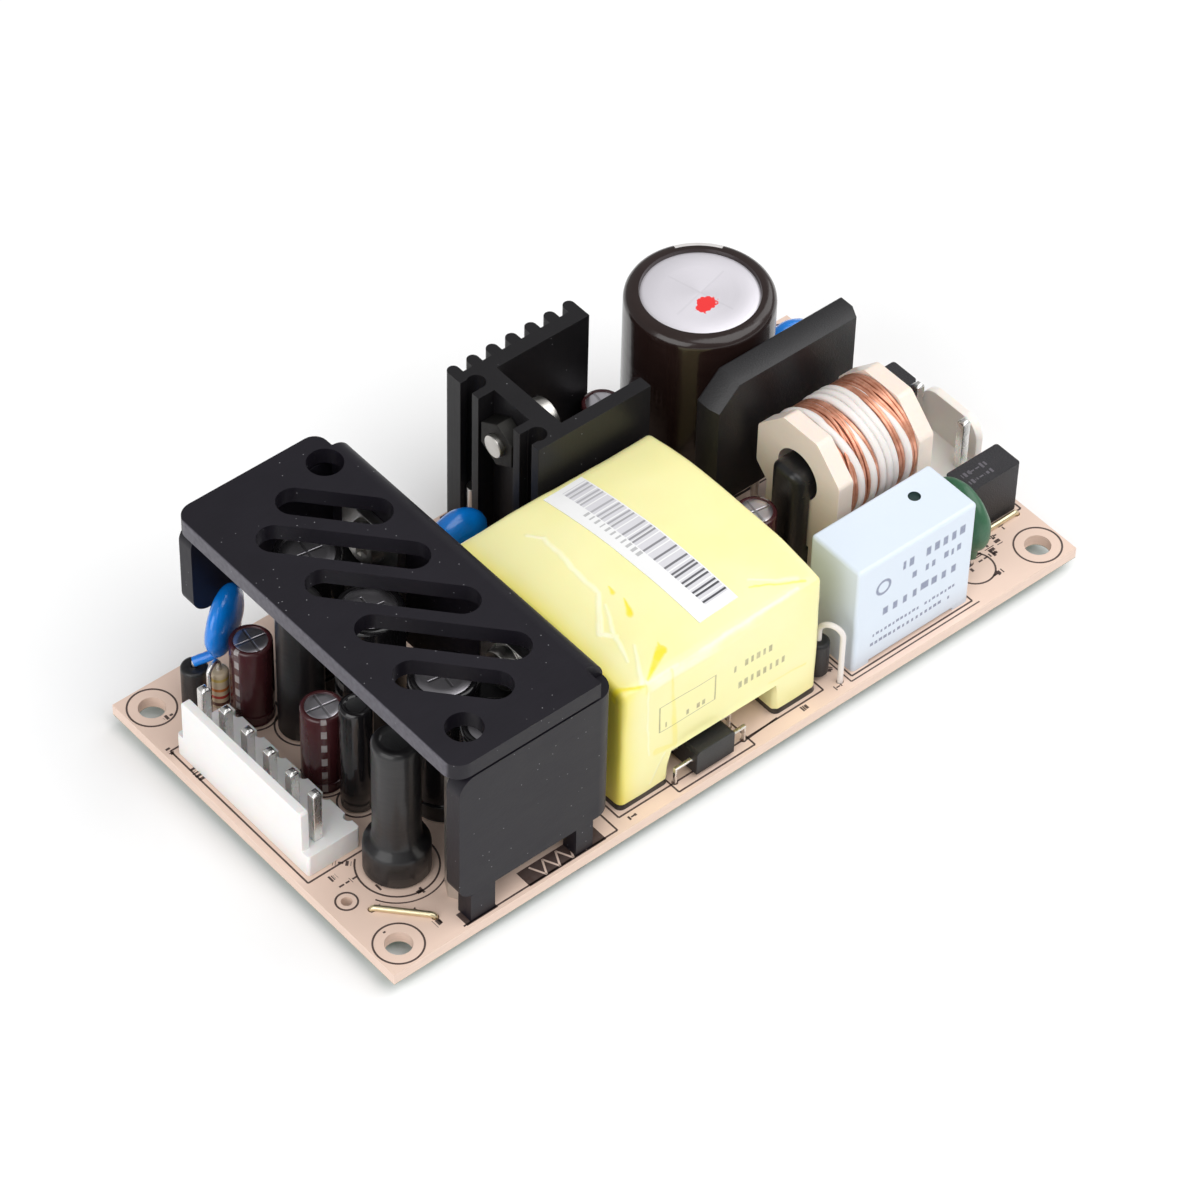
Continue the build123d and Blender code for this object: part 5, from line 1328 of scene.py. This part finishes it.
class SUPPLY_OT_boxed_capacitor(bpy.types.Operator):
    """Show the boxed capacitor with its gate mark and print"""
    bl_idname = "supply.boxed_capacitor"
    bl_label = "Boxed capacitor"

    def execute(self, context):
        f = finishes()
        low, high = corners("boxed_capacitor")
        case = boxed_plastic(tuple(f.case_blue), tuple(f.case_ink), low, high)
        gate = moulded("gate mark", (0.010, 0.035, 0.030), 0.3)
        tinned = bright_metal("case lead", tuple(f.tin), 0.2)

        def pick(face):
            spot = spot_of(face)
            if spot.z < BOARD_TOP:
                return 2
            return int(high.z - 0.31 < spot.z < high.z - 0.01 and low.x + 9 < spot.x < high.x - 2
                       and low.y + 2 < spot.y < high.y - 1)

        softened("pale_case", "boxed_capacitor", [case, gate, tinned], 0.1, 40.0, pick=pick)
        return {"FINISHED"}


# Common mode choke

def strand(mesh, axis, radius, wire, spot, drift=0.0, lift=0.0, sides=8, steps=48):
    """A closed turn of wire about an X axis, that drifts along it and lifts between its top and its front."""
    y, z = axis
    place = Matrix.Translation((spot, y, z + radius)) @ Matrix.Rotation(math.pi / 2, 4, "X")
    ring = bmesh.ops.create_circle(mesh, cap_ends=False, segments=sides, radius=wire / 2,
                                   matrix=place)["verts"]
    lines = list({edge for vertex in ring for edge in vertex.link_edges})
    before = set(mesh.verts) - set(ring)
    bmesh.ops.spin(mesh, geom=ring + lines, cent=(spot, y, z), axis=(1, 0, 0), dvec=(0, 0, 0),
                   angle=FULL_TURN, steps=steps, use_merge=True)
    for vertex in mesh.verts:
        if vertex not in before:
            turn = math.degrees(math.atan2(y - vertex.co.y, vertex.co.z - z)) % 360
            share = min(1.0, turn / 75) if turn < 200 else max(0.0, (300 - turn) / 100)
            share = share * share * (3 - 2 * share)
            vertex.co.x += drift * share + 0.22 * noise.noise(Vector((spot * 3.1, turn / 50, radius)))
            vertex.co += Vector((0, vertex.co.y - y, vertex.co.z - z)).normalized() * lift * share


BARE_TURNS = (
    # Place along the bobbin, and the drift along it at the front
    (1.30, -0.98), (1.78, -1.0), (2.26, -0.14), (2.74, -0.16), (3.22, 0.72), (6.85, 0.55), (7.33, 0.53),
    (7.81, 1.42), (8.29, 1.00), (8.77, 0.85), (9.25, 0.42), (9.72, 0.10),
)
SLEEVED_TURNS = (
    # Place along the bobbin, drift and lift at the front
    (0.58, 0.90, 0.05), (4.05, 0.68, 0.0), (5.10, 0.65, 0.0), (6.15, 0.58, 0.0), (2.60, 0.66, 0.42),
    (7.60, 1.00, 0.42),
)


class SUPPLY_OT_choke(bpy.types.Operator):
    """Build the common mode choke: core, bobbin and its two windings"""
    bl_idname = "supply.choke"
    bl_label = "Common mode choke"

    def execute(self, context):
        f, size = finishes(), sizes()
        core = fine_ferrite("choke ferrite", tuple(f.ferrite), 0.22)
        softened("closed_core", "choke_core", [core], 0.2, 40.0)
        cream = moulded("cream bobbin", tuple(f.bobbin), 0.3, 0.06, 0.012, 0.25, 0.2)
        softened("flanged_bobbin", "choke_bobbin", [cream], 0.35, 30.0)
        low, high = corners("choke_bobbin")
        start, end = low.x + 2.3, high.x - 2.3
        axis = ((low.y + high.y) / 2, BOARD_TOP + 14.6)
        wire, sleeve = size.fine_wire / MM, size.sleeved_wire / MM
        # Bare windings: a bed of wire, with bunches that part at the front
        mesh = bmesh.new()
        bed = 6.25
        for number in range(int((end - start) / wire)):
            strand(mesh, axis, bed, wire, start + wire * (number + 0.55), sides=6, steps=36)
        for spot, drift in BARE_TURNS:
            strand(mesh, axis, bed + wire * 1.1, wire, start + spot, drift, -0.05)
        copper = enamelled("enamelled copper", tuple(f.copper), tuple(f.copper_dark), (1.0, 1.0, 1.0))
        show("bare_windings", metres(mesh), [copper], ["choke_bare_winding"], 60.0)
        # Sleeved windings: three thick turns side by side, and turns that come up between the bare ones
        mesh = bmesh.new()
        for spot, drift, lift in SLEEVED_TURNS:
            radius = bed + (0.0 if lift > 0.1 else 0.33)
            strand(mesh, axis, radius, sleeve * 0.96, start + spot, drift, lift, 14)
        white = moulded("sleeved wire", tuple(f.white_wire), 0.28, 0.06, 0.01, 0.3, 0.15)
        show("sleeved_windings", metres(mesh), [white], ["choke_sleeved_winding"], 60.0)
        return {"FINISHED"}


class SUPPLY_OT_blocks(bpy.types.Operator):
    """Show the bridge rectifier and the fuses"""
    bl_idname = "supply.blocks"
    bl_label = "Bridge rectifier and fuses"

    def execute(self, context):
        f, edge = finishes(), sizes().edge / MM
        black = moulded("bridge moulding", tuple(f.moulding_black), 0.30, 0.2, 0.035)
        tinned = bright_metal("bridge lead", tuple(f.tin), 0.2)
        softened("bridge_slab", "bridge_rectifier", [black, tinned], edge,
                 pick=lambda face: int(spot_of(face).z < BOARD_TOP + 5.15))
        grey = moulded("fuse moulding", shaded(f.moulding_black, 2.4), 0.45, 0.3, 0.09)
        for node in ("fuse_1", "fuse_2"):
            softened(f"{node}_block", node, [grey, tinned], edge,
                     pick=lambda face: int(spot_of(face).z < BOARD_TOP - 0.01))
            low, high = corners(node)
            mesh = bmesh.new()
            for number, share in enumerate((0.30, 0.62)):
                greeked(mesh, low.x + 1.2, low.y + (high.y - low.y) * share, 0.0, 8,
                        30.0 + number + high.x, 0.9, high.z - 0.02)
            show(f"{node}_marks", metres(mesh), [print_ink("pale grey ink", (0.11, 0.10, 0.12))])
        return {"FINISHED"}


# Studio

class SUPPLY_OT_stage(bpy.types.Operator):
    """Set the floor, the soft studio light and the camera"""
    bl_idname = "supply.stage"
    bl_label = "Stage"

    def execute(self, context):
        scene = context.scene
        low = cad_bounds[0]
        mesh = bmesh.new()
        bmesh.ops.create_grid(mesh, x_segments=2, y_segments=2, size=3.0)
        bmesh.ops.translate(mesh, vec=(0, 0, low[2] - 0.00002), verts=mesh.verts)
        data = bpy.data.meshes.new("floor")
        mesh.to_mesh(data)
        mesh.free()
        floor = bpy.data.objects.new("floor", data)
        p = Paint("pale floor")
        tone = p.mix(p.noise(0.02, 2.0), (0.95, 0.95, 0.95), (0.97, 0.97, 0.97))
        data.materials.append(p.finish(Base_Color=tone, Roughness=0.85, Specular_IOR_Level=0.1))
        scene.collection.objects.link(floor)
        world = bpy.data.worlds.new("studio")
        world.use_nodes = True
        world.node_tree.nodes["Background"].inputs["Color"].default_value = (1.0, 1.0, 1.0, 1.0)
        world.node_tree.nodes["Background"].inputs["Strength"].default_value = 0.36
        scene.world = world
        scene.view_settings.view_transform = "Standard"
        for name, place, aim, size, power in (
                ("key light", (0.20, -0.32, 0.68), (0, 0, 0.01), 0.85, 4.8),
                ("side light", (0.60, 0.05, 0.45), (0, 0, 0.01), 0.45, 1.1),
                ("left light", (-0.62, -0.12, 0.34), (0, 0, 0.01), 0.60, 2.9)):
            lamp = bpy.data.lights.new(name, "AREA")
            lamp.size, lamp.energy = size, power
            light = bpy.data.objects.new(name, lamp)
            light.location = place
            light.rotation_euler = (Vector(aim) - Vector(place)).to_track_quat("-Z", "Y").to_euler()
            scene.collection.objects.link(light)
        # Camera from the photograph's own direction and distance
        lens = bpy.data.cameras.new("camera")
        lens.sensor_fit, lens.sensor_width, lens.lens = "HORIZONTAL", 36.0, 154.64
        azimuth, elevation, roll = math.radians(-41.368), math.radians(46.430), math.radians(1.646)
        ahead = Vector((-math.sin(azimuth) * math.cos(elevation), math.cos(azimuth) * math.cos(elevation),
                        -math.sin(elevation)))
        level = Vector((math.cos(azimuth), math.sin(azimuth), 0.0))
        upright = level.cross(ahead)
        right = level * math.cos(roll) + upright * math.sin(roll)
        up = upright * math.cos(roll) - level * math.sin(roll)
        camera = bpy.data.objects.new("camera", lens)
        camera.matrix_world = (Matrix.Translation((-0.26784, -0.30359, 0.43133))
                               @ Matrix((right, up, -ahead)).transposed().to_4x4())
        scene.collection.objects.link(camera)
        scene.camera = camera
        return {"FINISHED"}


OPERATORS = (
    SUPPLY_OT_stage, SUPPLY_OT_board, SUPPLY_OT_underside, SUPPLY_OT_folded_heatsink,
    SUPPLY_OT_extruded_heatsink, SUPPLY_OT_headers, SUPPLY_OT_packages, SUPPLY_OT_fasteners, SUPPLY_OT_cans,
    SUPPLY_OT_rods, SUPPLY_OT_discs, SUPPLY_OT_transformer, SUPPLY_OT_small_parts,
    SUPPLY_OT_boxed_capacitor, SUPPLY_OT_choke, SUPPLY_OT_blocks,
)


class SUPPLY_PT_panel(bpy.types.Panel):
    """Lists the pieces and their settings"""
    bl_idname = "SUPPLY_PT_panel"
    bl_label = "Power Supply"
    bl_space_type = "VIEW_3D"
    bl_region_type = "UI"
    bl_category = "Power Supply"

    def draw(self, context):
        layout = self.layout
        for operator in OPERATORS:
            layout.operator(operator.bl_idname)
        for group in (context.scene.supply_sizes, context.scene.supply_finishes):
            box = layout.box()
            for name in group.bl_rna.properties.keys():
                if name not in ("rna_type", "name"):
                    box.prop(group, name)


CLASSES = (SupplyFinishes, SupplySizes, *OPERATORS, SUPPLY_PT_panel)


def register():
    for item in CLASSES:
        bpy.utils.register_class(item)
    bpy.types.Scene.supply_finishes = bpy.props.PointerProperty(type=SupplyFinishes)
    bpy.types.Scene.supply_sizes = bpy.props.PointerProperty(type=SupplySizes)


def unregister():
    del bpy.types.Scene.supply_sizes
    del bpy.types.Scene.supply_finishes
    for item in reversed(CLASSES):
        bpy.utils.unregister_class(item)


def main():
    register()
    for operator in OPERATORS:
        getattr(bpy.ops.supply, operator.bl_idname.split(".")[1])()


if __name__ == "__main__":
    main()
